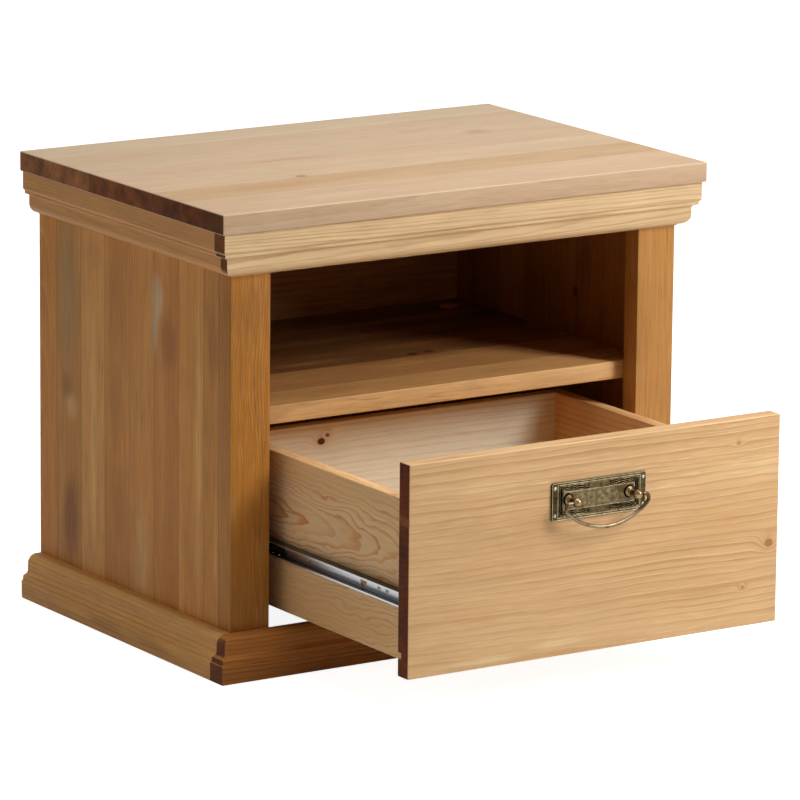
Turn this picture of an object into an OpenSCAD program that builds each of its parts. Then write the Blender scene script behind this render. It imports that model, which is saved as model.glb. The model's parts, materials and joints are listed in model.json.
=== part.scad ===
// Small pine nightstand: an open compartment over one drawer on side-mounted ball slides.
// The origin is on the floor, in the middle of the cabinet's back edge. +Z is up and the front faces -Y.
// All sizes are in millimetres. The drawer is drawn pulled out by drawer_open.

/* [Cabinet] */
// Overall width of the top board and of the plinth
width = 500; // [480:5:540]
// Overall depth of the top board and of the plinth
depth = 350; // [350:5:400]
// Height of the top's upper face above the floor
height = 410; // [410:5:440]
// Thickness of the top board
top_t = 18; // [16:1:22]
// How far the top board stands out beyond the body at the front and the sides
overhang = 20; // [20:0.5:22]
// Thickness of the side panels
side_t = 16; // [15:0.5:16]
// Width of each front stile
stile_w = 39; // [38:0.5:42]
// Thickness of the front stiles and of the front top rail
stile_t = 20; // [19:0.5:21]
// Thickness of the back panel
back_t = 5; // [4:0.5:5]

/* [Shelf] */
// Thickness of the fixed shelf
shelf_t = 16; // [16:0.5:18]
// Height of the shelf's upper face above the floor
shelf_top = 229.5; // [229.5:0.5:232]
// Radius of the round covers over the shelf's cam fittings
cap_r = 8.5; // [8:0.1:9]

/* [Mouldings] */
// Height of the moulding under the top
cornice_h = 40; // [40:1:40]
// Height of the plinth moulding
plinth_h = 40; // [40:1:40]

/* [Drawer] */
// How far the drawer stands open
drawer_open = 218; // [10:1:218]
// Width of the drawer front
front_w = 379; // [377:0.5:380]
// Height of the drawer front
front_h = 184; // [182:0.5:184]
// Thickness of the drawer front
front_t = 16; // [15.5:0.5:16]
// Height of the drawer front's lower edge above the floor
front_z = 43.5; // [43:0.5:44]
// Width over the outside of the drawer box
box_w = 352; // [352:1:352]
// Length of the drawer box behind the front
box_l = 300; // [298:1:300]
// Height of the drawer box's sides
box_h = 138.5; // [130:0.5:140]
// Thickness of the drawer box's sides and back
box_t = 12; // [12:0.5:13]
// Thickness of the drawer's bottom panel
bottom_t = 4.7; // [4:0.1:5]
// Depth of the grooves that hold the bottom panel
groove = 5; // [4:0.5:6]

/* [Slides] */
// Length of the slide rails
rail_l = 300; // [280:5:300]
// Height of the drawer rail
rail_h = 13; // [13:0.5:14]
// Sheet thickness of the rails
rail_t = 1; // [0.9:0.1:1]
// Height of the slides' centre line above the floor
rail_z = 107; // [100:1:115]
// Radius of the balls
ball_r = 1.15; // [1.1:0.01:1.15]
// Number of balls in each row
ball_n = 10; // [6:1:10]

/* [Handle] */
// Width of the handle's back plate
plate_w = 96; // [94:1:100]
// Height of the handle's back plate
plate_h = 32.5; // [30:0.5:34]
// Thickness of the handle's back plate
plate_t = 2; // [1.8:0.1:2.4]
// Distance between the centres of the two posts
post_cc = 62; // [60:1:64]
// How far the bail's pivot stands in front of the back plate
pivot_out = 12.5; // [12:0.5:14]
// Diameter of the bail's wire
wire_d = 3.2; // [3:0.1:3.4]
// Radius of the bail's bow
bow_r = 60; // [58:1:62]
// Radius of the bends at the bail's ends
bend_r = 4.5; // [4.2:0.1:4.8]
// Running clearance around the bail's pins
pin_gap = 0.05; // [0.03:0.01:0.08]

/* [Hidden] */
$fn = 64;
arris = 1.2;
half_w = width / 2;
body_x = half_w - overhang;
front_y = -depth;
body_y = -depth + overhang;
stile_back = body_y + stile_t;
open_x = body_x - stile_w;
side_in = body_x - side_t;
top_z = height - top_t;
back_y = -back_t;

// Moulding outlines as [distance in from the top board's edge, height]
moulding_n = 8;
cornice_pts = concat(
  [[3.2, top_z], [3.2, height - 34], [5, height - 36]],
  [for (i = [0:4]) [5 + 4.5 * sin(i * 22.5), height - 41.5 + 2.8 * cos(i * 22.5)]],
  [for (i = [0:moulding_n])
    [18.5 - 9 * cos(i * 90 / moulding_n), height - 48 - 9 * sin(i * 90 / moulding_n)]],
  [[18.5, top_z - cornice_h]]
);
plinth_pts = concat(
  [[1.5, 0], [0.44, 0.44], [0, 1.5], [0, 17], [1.5, 17.6], [1.5, 19]],
  [for (i = [0:5]) [2.2 + 4.3 * sin(i * 18), 26 - 4.4 * cos(i * 18)]],
  [for (i = [0:moulding_n])
    [15 - 8.5 * cos(i * 90 / moulding_n), 31 + 9 * sin(i * 90 / moulding_n)]]
);

// Lengths of the dowels and of the screws
dowel_l = 30;
top_screw_l = 30;
moulding_screw_l = 28;
box_screw_l = 32;
small_screw_l = 14;
drawer_screw_l = 11;

// Rails and the boards behind the mouldings
rail_w = 16;
top_rail_h = 40;
base_rail_h = 45;
rebate_h = 12;

// Slides: distances are measured inwards from the packer's face
packer_in = box_w / 2 + 12;
packer_h = 40;
packer_back = -10;
packer_bite = 12; // how far the packer's screws go into the side panel
packer_screw_l = side_in - packer_in + packer_bite;
cab_rail_front = body_y + 18;
inner_half = 4.4;
groove_half = 3.1;
outer_half = rail_h / 2;
ball_s = 6.9;
ball_z = 4.3;
cage_t = 0.6;
cage_l = 100;
cage_front_in = 14;
cage_front = front_y + cage_front_in;
ball_pitch = (cage_l - 10) / (ball_n - 1);

// Drawer, placed pulled out
face_y = body_y - drawer_open;
front_back = face_y + front_t;
box_x = box_w / 2;
box_in = box_x - box_t;
box_back = front_back + box_l;
box_z = 52;
bottom_z = 59.3;

// Handle
handle_z = 178.2;
pivot_z = 179;
plate_y = face_y - plate_t;
pivot_y = plate_y - pivot_out;
pin_x = 45;
pin_z = 11.7;
rim = 0.3;
bow_half = 43;
wire_r = wire_d / 2;
bend_x = (bow_r - bend_r) * sin(bow_half);
bow_up = (bow_r - bend_r) * cos(bow_half) - bend_r;
post_bore = 1.8;
ball_post_r = 3.5;
bail_pin_r = 1.0;

// Fastener places
cornice_screw_x = [-150, 0, 150];
cornice_screw_y = [-285, -165, -45];
cornice_screw_z = top_z - 10;
plinth_screw_y = [-270, -150, -40];
top_screw_x = [-120, 120];
top_dowel_y = [-265, -145, -25];
stile_dowel_z = [60, 140, 200, 290, 366];
panel_screw_x = [-160, -55, 55, 160];
shelf_screw_x = [-110, 0, 110];

// Cam fittings under the shelf, measured from the middle of each cam
cam_in = 28.5;
cam_h = 12.5;
cam_r = 7.5;
cam_cut = 20;
bolt_bore = 3.2;
bolt_start = 3.5;
bolt_bore_l = cam_in + 1 - bolt_start;
bolt_thread = 11;
cam_bore_l = 10;
cam_x = side_in - cam_in;
cam_y = [front_y + 70, -35];

// Places of the shelf's dowels and of the screws in the slides and the drawer
shelf_dowel_y = [front_y + 110, -75];
packer_screws_yz = [[-290, 92], [-160, 122], [-30, 92]];
cab_screw_y = [cab_rail_front + 22, cab_rail_front + 150, cab_rail_front + 278];
drawer_screw_in = [37, 49, 160, 284];
box_joint_z = [85, 165];

// Turns that point a fastener's head
to_pos_x = [0, 90, 0];
to_neg_x = [0, -90, 0];
to_pos_y = [-90, 0, 0];
to_neg_y = [90, 0, 0];
to_neg_z = [180, 0, 0];

wood_top = [0.86, 0.70, 0.49];
wood_body = [0.78, 0.57, 0.32];
wood_edge = [0.89, 0.76, 0.55];
wood_raw = [0.91, 0.80, 0.62];
wood_dark = [0.56, 0.38, 0.22];
steel = [0.72, 0.73, 0.74];
bright = [0.88, 0.89, 0.90];
brass = [0.62, 0.50, 0.31];
brown = [0.50, 0.36, 0.22];
black = [0.12, 0.12, 0.12];

// A box between two corners
module block(x0, x1, y0, y1, z0, z1) {
  translate([x0, y0, z0]) cube([x1 - x0, y1 - y0, z1 - z0]);
}

// A rectangle with its four corners cut at 45 degrees
module cut_rect(x0, x1, y0, y1, c) {
  polygon([[x0 + c, y0], [x1 - c, y0], [x1, y0 + c], [x1, y1 - c],
    [x1 - c, y1], [x0 + c, y1], [x0, y1 - c], [x0, y0 + c]]);
}

// An outline in X and Z, drawn from y0 to y1
module along_y(y0, y1) {
  translate([0, y1, 0]) rotate([90, 0, 0]) linear_extrude(y1 - y0) children();
}

// An outline in Y and Z, drawn from x0 to x1
module along_x(x0, x1) {
  translate([x0, 0, 0]) rotate([90, 0, 90]) linear_extrude(x1 - x0) children();
}

// A board with an arris of size c on all its edges
module board(x0, x1, y0, y1, z0, z1, c) {
  intersection() {
    along_x(x0, x1) cut_rect(y0, y1, z0, z1, c);
    along_y(y0, y1) cut_rect(x0, x1, z0, z1, c);
    translate([0, 0, z0]) linear_extrude(z1 - z0) cut_rect(x0, x1, y0, y1, c);
  }
}

// The left and right copies of something drawn on the right side
module both_sides() {
  for (s = [0, 1]) mirror([s, 0, 0]) children();
}

// A countersunk screw whose flat head faces +Z at height 0
module screw(l, r, head_r) {
  rotate_extrude()
    polygon([[0, 0], [head_r, 0], [head_r, -0.3], [r, -0.3 - (head_r - r)], [r, -l + 1.2 * r],
      [0.3, -l], [0, -l]]);
}

// The hole for such a screw: clear through the first board, tight in the next
module screw_hole(l, r, head_r, clear_l) {
  rotate_extrude()
    polygon([[0, 1], [head_r, 1], [head_r, -0.3], [r + 0.2, -0.1 - (head_r - r)], [r + 0.2, -clear_l],
      [r, -clear_l], [r, -l], [0, -l]]);
}

// A plain dowel centred on the origin along Z
module dowel(l, r) {
  rotate_extrude()
    polygon([[0, -l / 2], [r - 0.6, -l / 2], [r, -l / 2 + 0.6], [r, l / 2 - 0.6], [r - 0.6, l / 2],
      [0, l / 2]]);
}

module dowel_hole(l, r) {
  cylinder(h = l, r = r, center = true);
}

// Places of each kind of fastener; children are the screw or its hole
module at_top_screws() {
  for (x = top_screw_x, y = [body_y + stile_t / 2, back_y - rail_w / 2])
    translate([x, y, top_z - 20]) rotate(to_neg_z) children();
}

module at_cornice_screws() {
  for (x = cornice_screw_x) translate([x, stile_back, cornice_screw_z]) rotate(to_pos_y) children();
  both_sides() for (y = cornice_screw_y)
    translate([side_in, y, cornice_screw_z]) rotate(to_neg_x) children();
}

module at_plinth_screws() {
  both_sides() {
    for (z = [10, 30]) translate([open_x + 11, stile_back, z]) rotate(to_pos_y) children();
    for (y = plinth_screw_y) translate([side_in, y, 10]) rotate(to_neg_x) children();
  }
}

module at_back_screws() {
  for (x = panel_screw_x, z = [base_rail_h - 6, top_z - 20])
    translate([x, 0, z]) rotate(to_pos_y) children();
  for (x = shelf_screw_x) translate([x, 0, shelf_top - shelf_t / 2]) rotate(to_pos_y) children();
}

module at_packer_screws() {
  both_sides() for (p = packer_screws_yz)
    translate([packer_in, p[0], p[1]]) rotate(to_neg_x) children();
}

module at_cabinet_rail_screws() {
  both_sides() for (y = cab_screw_y)
    translate([packer_in - rail_t, y, rail_z]) rotate(to_neg_x) children();
}

module at_drawer_rail_screws() {
  both_sides() for (d = drawer_screw_in)
    translate([box_x + rail_t, front_back + d, rail_z]) rotate(to_pos_x) children();
}

module at_box_screws() {
  both_sides() for (z = box_joint_z)
    translate([box_x, box_back - box_t / 2, z]) rotate(to_pos_x) children();
}

module at_post_screws() {
  for (s = [-1, 1]) translate([s * post_cc / 2, front_back, pivot_z]) rotate(to_pos_y) children();
}

module at_top_dowels() {
  both_sides() for (y = top_dowel_y) translate([body_x - side_t / 2, y, top_z - 3]) children();
}

module at_stile_dowels() {
  both_sides() for (z = stile_dowel_z)
    translate([body_x - side_t / 2, stile_back + 3, z]) rotate(to_neg_y) children();
}

module at_rail_dowels() {
  both_sides() {
    for (z = [top_z - 30, top_z - 10]) {
      translate([open_x, body_y + stile_t / 2, z]) rotate(to_pos_x) children();
      translate([side_in - 5, back_y - rail_w / 2, z]) rotate(to_pos_x) children();
    }
    for (z = [12, 26]) translate([side_in - 5, -rail_w / 2, z]) rotate(to_pos_x) children();
  }
}

module at_shelf_dowels() {
  both_sides() for (y = shelf_dowel_y)
    translate([side_in - 5, y, shelf_top - shelf_t / 2]) rotate(to_pos_x) children();
}

module at_cams() {
  both_sides() for (y = cam_y) translate([cam_x, y, shelf_top]) children();
}

module at_drawer_dowels() {
  both_sides() for (z = box_joint_z)
    translate([box_x - box_t / 2, front_back + 5, z]) rotate(to_neg_y) children();
}

module top_board() {
  color(wood_top) difference() {
    board(-half_w, half_w, front_y, 0, top_z, height, arris);
    at_top_screws() screw_hole(top_screw_l, 2, 3.8, 20);
    at_top_dowels() dowel_hole(dowel_l, 4);
  }
}

// The strip along the front, with its profile carried round both ends
module front_strip(pts, z0, z1) {
  intersection() {
    along_x(-half_w, half_w)
      polygon(concat([for (p = pts) [front_y + p[0], p[1]]], [[body_y, z1], [body_y, z0]]));
    along_y(front_y, body_y)
      polygon(concat([for (p = pts) [-half_w + p[0], p[1]]],
        [for (i = [len(pts) - 1:-1:0]) [half_w - pts[i][0], pts[i][1]]]));
  }
}

// A strip along the right side, butted against the back of the front strip
module side_strip(pts, z0, z1) {
  along_y(body_y, 0)
    polygon(concat([for (p = pts) [half_w - p[0], p[1]]], [[body_x, z1], [body_x, z0]]));
}

module cornice_front() {
  color(wood_edge) difference() {
    front_strip(cornice_pts, top_z, top_z - cornice_h);
    at_cornice_screws() screw_hole(moulding_screw_l, 1.75, 3.5, stile_t);
  }
}

module cornice_right() {
  color(wood_edge) difference() {
    side_strip(cornice_pts, top_z, top_z - cornice_h);
    at_cornice_screws() screw_hole(moulding_screw_l, 1.75, 3.5, side_t);
  }
}

module cornice_left() {
  mirror([1, 0, 0]) cornice_right();
}

module plinth_front() {
  color(wood_dark) difference() {
    front_strip(plinth_pts, 0, plinth_h);
    at_plinth_screws() screw_hole(moulding_screw_l, 1.75, 3.5, stile_t);
  }
}

module plinth_right() {
  color(wood_dark) difference() {
    side_strip(plinth_pts, 0, plinth_h);
    at_plinth_screws() screw_hole(moulding_screw_l, 1.75, 3.5, side_t);
  }
}

module plinth_left() {
  mirror([1, 0, 0]) plinth_right();
}

module stile_right() {
  color(wood_body) difference() {
    along_y(body_y, stile_back) square_at(open_x, body_x, 0, top_z);
    at_plinth_screws() screw_hole(moulding_screw_l, 1.75, 3.5, stile_t);
    at_stile_dowels() dowel_hole(dowel_l, 3);
    at_rail_dowels() dowel_hole(dowel_l, 3);
  }
}

module square_at(x0, x1, y0, y1) {
  translate([x0, y0]) square([x1 - x0, y1 - y0]);
}

module stile_left() {
  mirror([1, 0, 0]) stile_right();
}

module side_right() {
  color(wood_body) difference() {
    block(side_in, body_x, stile_back, 0, 0, top_z);
    at_plinth_screws() screw_hole(moulding_screw_l, 1.75, 3.5, side_t);
    at_cornice_screws() screw_hole(moulding_screw_l, 1.75, 3.5, side_t);
    at_stile_dowels() dowel_hole(dowel_l, 3);
    at_rail_dowels() dowel_hole(dowel_l, 3);
    at_top_dowels() dowel_hole(dowel_l, 4);
    at_shelf_dowels() dowel_hole(dowel_l, 4);
    at_packer_screws() screw_hole(packer_screw_l, 2, 3.8, side_in - packer_in);
    at_cams() translate([cam_in + (bolt_thread - 1) / 2, 0, -shelf_t / 2]) rotate(to_pos_x)
      dowel_hole(bolt_thread + 1, 2.5);
  }
}

module side_left() {
  mirror([1, 0, 0]) side_right();
}

module top_rail_front() {
  color(wood_body) difference() {
    block(-open_x, open_x, body_y, stile_back, top_z - top_rail_h, top_z);
    at_cornice_screws() screw_hole(moulding_screw_l, 1.75, 3.5, stile_t);
    at_top_screws() screw_hole(top_screw_l, 2, 3.8, 20);
    at_top_screws() cylinder(h = top_rail_h, r = 4.5);
    at_rail_dowels() dowel_hole(dowel_l, 3);
  }
}

module top_rail_back() {
  color(wood_body) difference() {
    block(-side_in, side_in, back_y - rail_w, back_y, top_z - top_rail_h, top_z);
    at_back_screws() screw_hole(small_screw_l, 1.5, 3, back_t);
    at_top_screws() screw_hole(top_screw_l, 2, 3.8, 20);
    at_top_screws() cylinder(h = top_rail_h, r = 4.5);
    at_rail_dowels() dowel_hole(dowel_l, 3);
  }
}

module shelf() {
  color(wood_body) difference() {
    along_x(-side_in, side_in) cut_rect(stile_back, back_y, shelf_top - shelf_t, shelf_top, 0.8);
    at_cams() translate([0, 0, -cam_h]) cylinder(h = cam_cut, r = cam_r);
    at_cams() translate([bolt_start + bolt_bore_l / 2, 0, -shelf_t / 2]) rotate(to_pos_x)
      cylinder(h = bolt_bore_l, r = bolt_bore, center = true);
    at_shelf_dowels() dowel_hole(dowel_l, 4);
    at_back_screws() screw_hole(small_screw_l, 1.5, 3, back_t);
  }
}

module back_panel() {
  color(wood_body) difference() {
    block(-side_in, side_in, back_y, 0, base_rail_h - rebate_h, top_z);
    at_back_screws() screw_hole(small_screw_l, 1.5, 3, back_t);
  }
}

module base_rail_back() {
  color(wood_body) difference() {
    block(-side_in, side_in, -rail_w, 0, 0, base_rail_h);
    block(-side_in - 1, side_in + 1, back_y, 1, base_rail_h - rebate_h, base_rail_h + 1);
    at_back_screws() screw_hole(small_screw_l, 1.5, 3, back_t);
    at_rail_dowels() dowel_hole(dowel_l, 3);
  }
}

module packer_right() {
  color(wood_raw) difference() {
    block(packer_in, side_in, stile_back, packer_back, rail_z - packer_h / 2, rail_z + packer_h / 2);
    at_packer_screws() screw_hole(packer_screw_l, 2, 3.8, side_in - packer_in);
    at_cabinet_rail_screws() screw_hole(small_screw_l, 1.6, 2.9, rail_t + 1);
  }
}

module packer_left() {
  mirror([1, 0, 0]) packer_right();
}

// The fixed rail: a channel open towards the drawer, narrowed where the balls run
module cabinet_rail_right() {
  outline = [[0, inner_half], [3, inner_half], [5.2, groove_half], [9.2, groove_half],
    [9.2, groove_half - rail_t], [4.8, groove_half - rail_t], [2.6, inner_half - rail_t],
    [rail_t, inner_half - rail_t]];
  color(steel) difference() {
    along_y(cab_rail_front, cab_rail_front + rail_l)
      polygon([for (p = concat(outline,
          [for (i = [len(outline) - 1:-1:0]) [outline[i][0], -outline[i][1]]]))
        [packer_in - p[0], rail_z + p[1]]]);
    at_cabinet_rail_screws() screw_hole(small_screw_l, 1.6, 2.9, rail_t + 1);
  }
}

module cabinet_rail_left() {
  mirror([1, 0, 0]) cabinet_rail_right();
}

// The moving rail: a wider channel open towards the cabinet, with lips that keep the balls in
module drawer_rail_right() {
  h = outer_half;
  outline = [[12, h], [3.5, h], [3.5, h - 1.6], [4.4, h - 1.6], [5.2, h - 1], [8.6, h - 1],
    [9.2, h - 1.3], [12 - rail_t, h - 1.3]];
  color(steel) difference() {
    along_y(front_back, front_back + rail_l)
      polygon([for (p = concat(outline,
          [for (i = [len(outline) - 1:-1:0]) [outline[i][0], -outline[i][1]]]))
        [packer_in - p[0], rail_z + p[1]]]);
    at_drawer_rail_screws() screw_hole(drawer_screw_l, 1.6, 2.9, rail_t + 1);
    translate([box_x, front_back + 73, rail_z]) rotate(to_pos_x) cylinder(h = 6, r = 4.8, center = true);
  }
}

module drawer_rail_left() {
  mirror([1, 0, 0]) drawer_rail_right();
}

// The ball retainer: a thin channel between the two rails with a round pocket for each ball
module ball_cage_right() {
  x_web = packer_in - 10.5;
  x_lip = packer_in - 5.6;
  color(black) difference() {
    along_y(cage_front, cage_front + cage_l)
      polygon([[x_web, rail_z - 4.7], [x_lip, rail_z - 4.7], [x_lip, rail_z - 3.9],
        [x_web + cage_t, rail_z - 3.9], [x_web + cage_t, rail_z + 3.9], [x_lip, rail_z + 3.9],
        [x_lip, rail_z + 4.7], [x_web, rail_z + 4.7]]);
    for (i = [0:ball_n - 1])
      translate([packer_in - ball_s, cage_front + 5 + i * ball_pitch, rail_z])
        cylinder(h = 12, r = ball_r + 0.03, center = true);
  }
}

module ball_cage_left() {
  mirror([1, 0, 0]) ball_cage_right();
}

module balls_right() {
  color(bright) for (i = [0:ball_n - 1], s = [-1, 1])
    translate([packer_in - ball_s, cage_front + 5 + i * ball_pitch, rail_z + s * ball_z]) sphere(r = ball_r);
}

module balls_left() {
  mirror([1, 0, 0]) balls_right();
}

module top_screws() {
  color(steel) at_top_screws() screw(top_screw_l, 2, 3.8);
}

module cornice_screws() {
  color(steel) at_cornice_screws() screw(moulding_screw_l, 1.75, 3.5);
}

module plinth_screws() {
  color(steel) at_plinth_screws() screw(moulding_screw_l, 1.75, 3.5);
}

module back_screws() {
  color(steel) at_back_screws() screw(small_screw_l, 1.5, 3);
}

module packer_screws() {
  color(steel) at_packer_screws() screw(packer_screw_l, 2, 3.8);
}

module cabinet_rail_screws() {
  color(steel) at_cabinet_rail_screws() screw(small_screw_l, 1.6, 2.9);
}

module top_dowels() {
  color(wood_raw) at_top_dowels() dowel(dowel_l, 4);
}

module stile_dowels() {
  color(wood_raw) at_stile_dowels() dowel(dowel_l, 3);
}

module rail_dowels() {
  color(wood_raw) at_rail_dowels() dowel(dowel_l, 3);
}

module shelf_dowels() {
  color(wood_raw) at_shelf_dowels() dowel(dowel_l, 4);
}

module cam_housings() {
  color(steel) at_cams() difference() {
    translate([0, 0, -cam_h]) cylinder(h = cam_h, r = cam_r);
    translate([bolt_start, 0, -shelf_t / 2]) rotate(to_pos_x)
      cylinder(h = cam_bore_l, r = bolt_bore, center = true);
  }
}

// A threaded end in the side panel, a plain shank and a round head inside the cam
module cam_bolts() {
  color(steel) at_cams() translate([cam_in, 0, -shelf_t / 2]) rotate(to_pos_x) rotate_extrude()
    polygon([[0, bolt_thread], [2.5, bolt_thread], [2.5, 0], [3, 0], [3, 8.5 - cam_in],
      [1.6, 8.5 - cam_in], [1.6, 2.5 - cam_in], [2.9, 2.5 - cam_in], [2.9, -cam_in], [0, -cam_in]]);
}

module cover_caps() {
  color(brown) at_cams() rotate_extrude()
    polygon([[0, 0], [cap_r, 0], [cap_r, 0.8], [cap_r - 0.7, 1.5], [0, 1.5]]);
}

module drawer_front() {
  color(wood_edge) difference() {
    board(-front_w / 2, front_w / 2, face_y, front_back, front_z, front_z + front_h, arris);
    block(-front_w / 2 - 1, front_w / 2 + 1, front_back - groove, front_back + 1, bottom_z,
      bottom_z + bottom_t);
    at_post_screws() cylinder(h = 60, r = 2, center = true);
    at_handle_pins() cylinder(h = 16, r = 0.8);
    at_drawer_dowels() dowel_hole(dowel_l, 3);
  }
}

module drawer_side_right() {
  color(wood_raw) difference() {
    along_y(front_back, box_back) cut_rect(box_in, box_x, box_z, box_z + box_h, 0.8);
    block(box_in - 1, box_in + groove, front_back - 1, box_back + 1, bottom_z, bottom_z + bottom_t);
    at_drawer_dowels() dowel_hole(dowel_l, 3);
    at_box_screws() screw_hole(box_screw_l, 1.75, 3.5, box_t);
    at_drawer_rail_screws() screw_hole(drawer_screw_l, 1.6, 2.9, rail_t + 1);
  }
}

module drawer_side_left() {
  mirror([1, 0, 0]) drawer_side_right();
}

module drawer_back() {
  color(wood_raw) difference() {
    along_x(-box_in, box_in) cut_rect(box_back - box_t, box_back, box_z, box_z + box_h, 0.8);
    block(-box_x, box_x, box_back - box_t - 1, box_back - box_t + groove, bottom_z, bottom_z + bottom_t);
    at_box_screws() screw_hole(box_screw_l, 1.75, 3.5, box_t);
  }
}

module drawer_bottom() {
  color(wood_raw)
    block(-box_in - groove, box_in + groove, front_back - groove, box_back - box_t + groove, bottom_z,
      bottom_z + bottom_t);
}

module drawer_rail_screws() {
  color(steel) at_drawer_rail_screws() screw(drawer_screw_l, 1.6, 2.9);
}

module drawer_dowels() {
  color(wood_raw) at_drawer_dowels() dowel(dowel_l, 3);
}

module drawer_box_screws() {
  color(steel) at_box_screws() screw(box_screw_l, 1.75, 3.5);
}

module front_bumpers() {
  color(bright) both_sides() translate([front_w / 2 - 11.5, front_back, front_z + front_h - 6.5]) rotate(to_pos_y)
    rotate_extrude() polygon([[0, 0], [4, 0], [4, 3], [3.3, 3.7], [0, 3.7]]);
}

module at_handle_pins() {
  for (x = [-pin_x, pin_x], z = [-pin_z, pin_z])
    translate([x, plate_y + rim, handle_z + z]) rotate(to_pos_y) children();
}

// A thin plate with a raised line round its edge
module handle_plate() {
  color(brass) difference() {
    along_y(plate_y, face_y)
      cut_rect(-plate_w / 2, plate_w / 2, handle_z - plate_h / 2, handle_z + plate_h / 2, 1.5);
    along_y(plate_y - 1, plate_y + rim)
      cut_rect(-plate_w / 2 + 1.2, plate_w / 2 - 1.2, handle_z - plate_h / 2 + 1.2,
        handle_z + plate_h / 2 - 1.2, 1);
    at_post_screws() cylinder(h = 60, r = 2, center = true);
    at_handle_pins() cylinder(h = 16, r = 0.8);
  }
}

// A turned post: a foot, a thin neck and a ball with a cross hole for the bail's pin
module handle_posts() {
  b = ball_post_r;
  color(brass) for (s = [-1, 1])
    translate([s * post_cc / 2, plate_y + rim, pivot_z]) rotate(to_neg_y) difference() {
      rotate_extrude()
        polygon(concat([[0, 0], [4.5, 0], [4.5, 1.6], [3.6, 2.6], [2.5, 4.4], [2.2, 5.6], [2.2, 9.2]],
          [for (a = [-45:7.5:90]) [b * cos(a), pivot_out + rim + b * sin(a)]]));
      translate([0, 0, -1]) cylinder(h = 4.6, r = post_bore);
      translate([0, 0, pivot_out + rim]) rotate([0, 90, 0])
        cylinder(h = 12, r = bail_pin_r + pin_gap, center = true);
    }
}

module handle_pins() {
  color(brass) at_handle_pins() rotate_extrude()
    polygon([[0, -0.9], [0.7, -0.75], [1.2, -0.4], [1.5, 0], [0.8, 0], [0.8, 9.5], [0, 10.5]]);
}

// Round-headed machine screws from inside the drawer into the posts
module post_screws() {
  tip = front_t + plate_t - rim + 3.5;
  color(steel) at_post_screws() rotate_extrude()
    polygon([[0, 2.2], [2.2, 2], [3.3, 1.3], [3.7, 0.4], [3.7, 0], [post_bore, 0],
      [post_bore, -tip + 0.4], [post_bore - 0.4, -tip], [0, -tip]]);
}

// The hanging bow: one shallow arc, a tight bend at each end and a thin pin into each post
module bail() {
  in_x = post_cc / 2 + ball_post_r + 1.7;
  color(brass) translate([0, pivot_y, pivot_z]) {
    translate([0, 0, bow_up]) rotate([90, 0, 0])
      rotate_extrude(angle = 2 * bow_half, start = 270 - bow_half) translate([bow_r, 0]) circle(r = wire_r);
    both_sides() {
      translate([bow_r * sin(bow_half), 0, bow_up - bow_r * cos(bow_half)]) sphere(r = wire_r + 0.03);
      translate([bend_x, 0, -bend_r]) rotate([90, 0, 0])
        rotate_extrude(angle = 180 - bow_half, start = bow_half - 90)
          translate([bend_r, 0]) circle(r = wire_r);
      translate([in_x, 0, 0]) rotate(to_pos_x) cylinder(h = bend_x - in_x, r = wire_r);
      translate([post_cc / 2 - 2, 0, 0]) rotate(to_pos_x)
        cylinder(h = in_x - post_cc / 2 + 2, r = bail_pin_r);
    }
  }
}

top_board();
cornice_front();
cornice_left();
cornice_right();
stile_left();
stile_right();
side_left();
side_right();
top_rail_front();
top_rail_back();
shelf();
back_panel();
plinth_front();
plinth_left();
plinth_right();
base_rail_back();
packer_left();
packer_right();
cabinet_rail_left();
cabinet_rail_right();
top_screws();
cornice_screws();
plinth_screws();
back_screws();
packer_screws();
cabinet_rail_screws();
top_dowels();
stile_dowels();
rail_dowels();
shelf_dowels();
cam_housings();
cam_bolts();
cover_caps();
drawer_front();
drawer_side_left();
drawer_side_right();
drawer_back();
drawer_bottom();
drawer_rail_left();
drawer_rail_right();
drawer_rail_screws();
drawer_dowels();
drawer_box_screws();
front_bumpers();
handle_plate();
handle_posts();
handle_pins();
post_screws();
bail();
ball_cage_left();
ball_cage_right();
balls_left();
balls_right();
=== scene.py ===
"""Small pine nightstand with an open compartment, one drawer on ball slides and a brass bail handle.

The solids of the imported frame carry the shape. This script dresses them: the boards that show get soft
arrises and pine grain, the mouldings get smooth curves, and the slides, screws and handle get their detail.
Everything is in metres, +Z up, the front towards -Y, with the origin at the middle of the back edge on
the floor.
"""

from __future__ import annotations

import json
import logging
import math
from dataclasses import dataclass, field, replace
from enum import Enum
from typing import Callable, Iterable, Mapping, Sequence

import bmesh
import bpy
import numpy as np
from mathutils import Matrix, Vector

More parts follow.
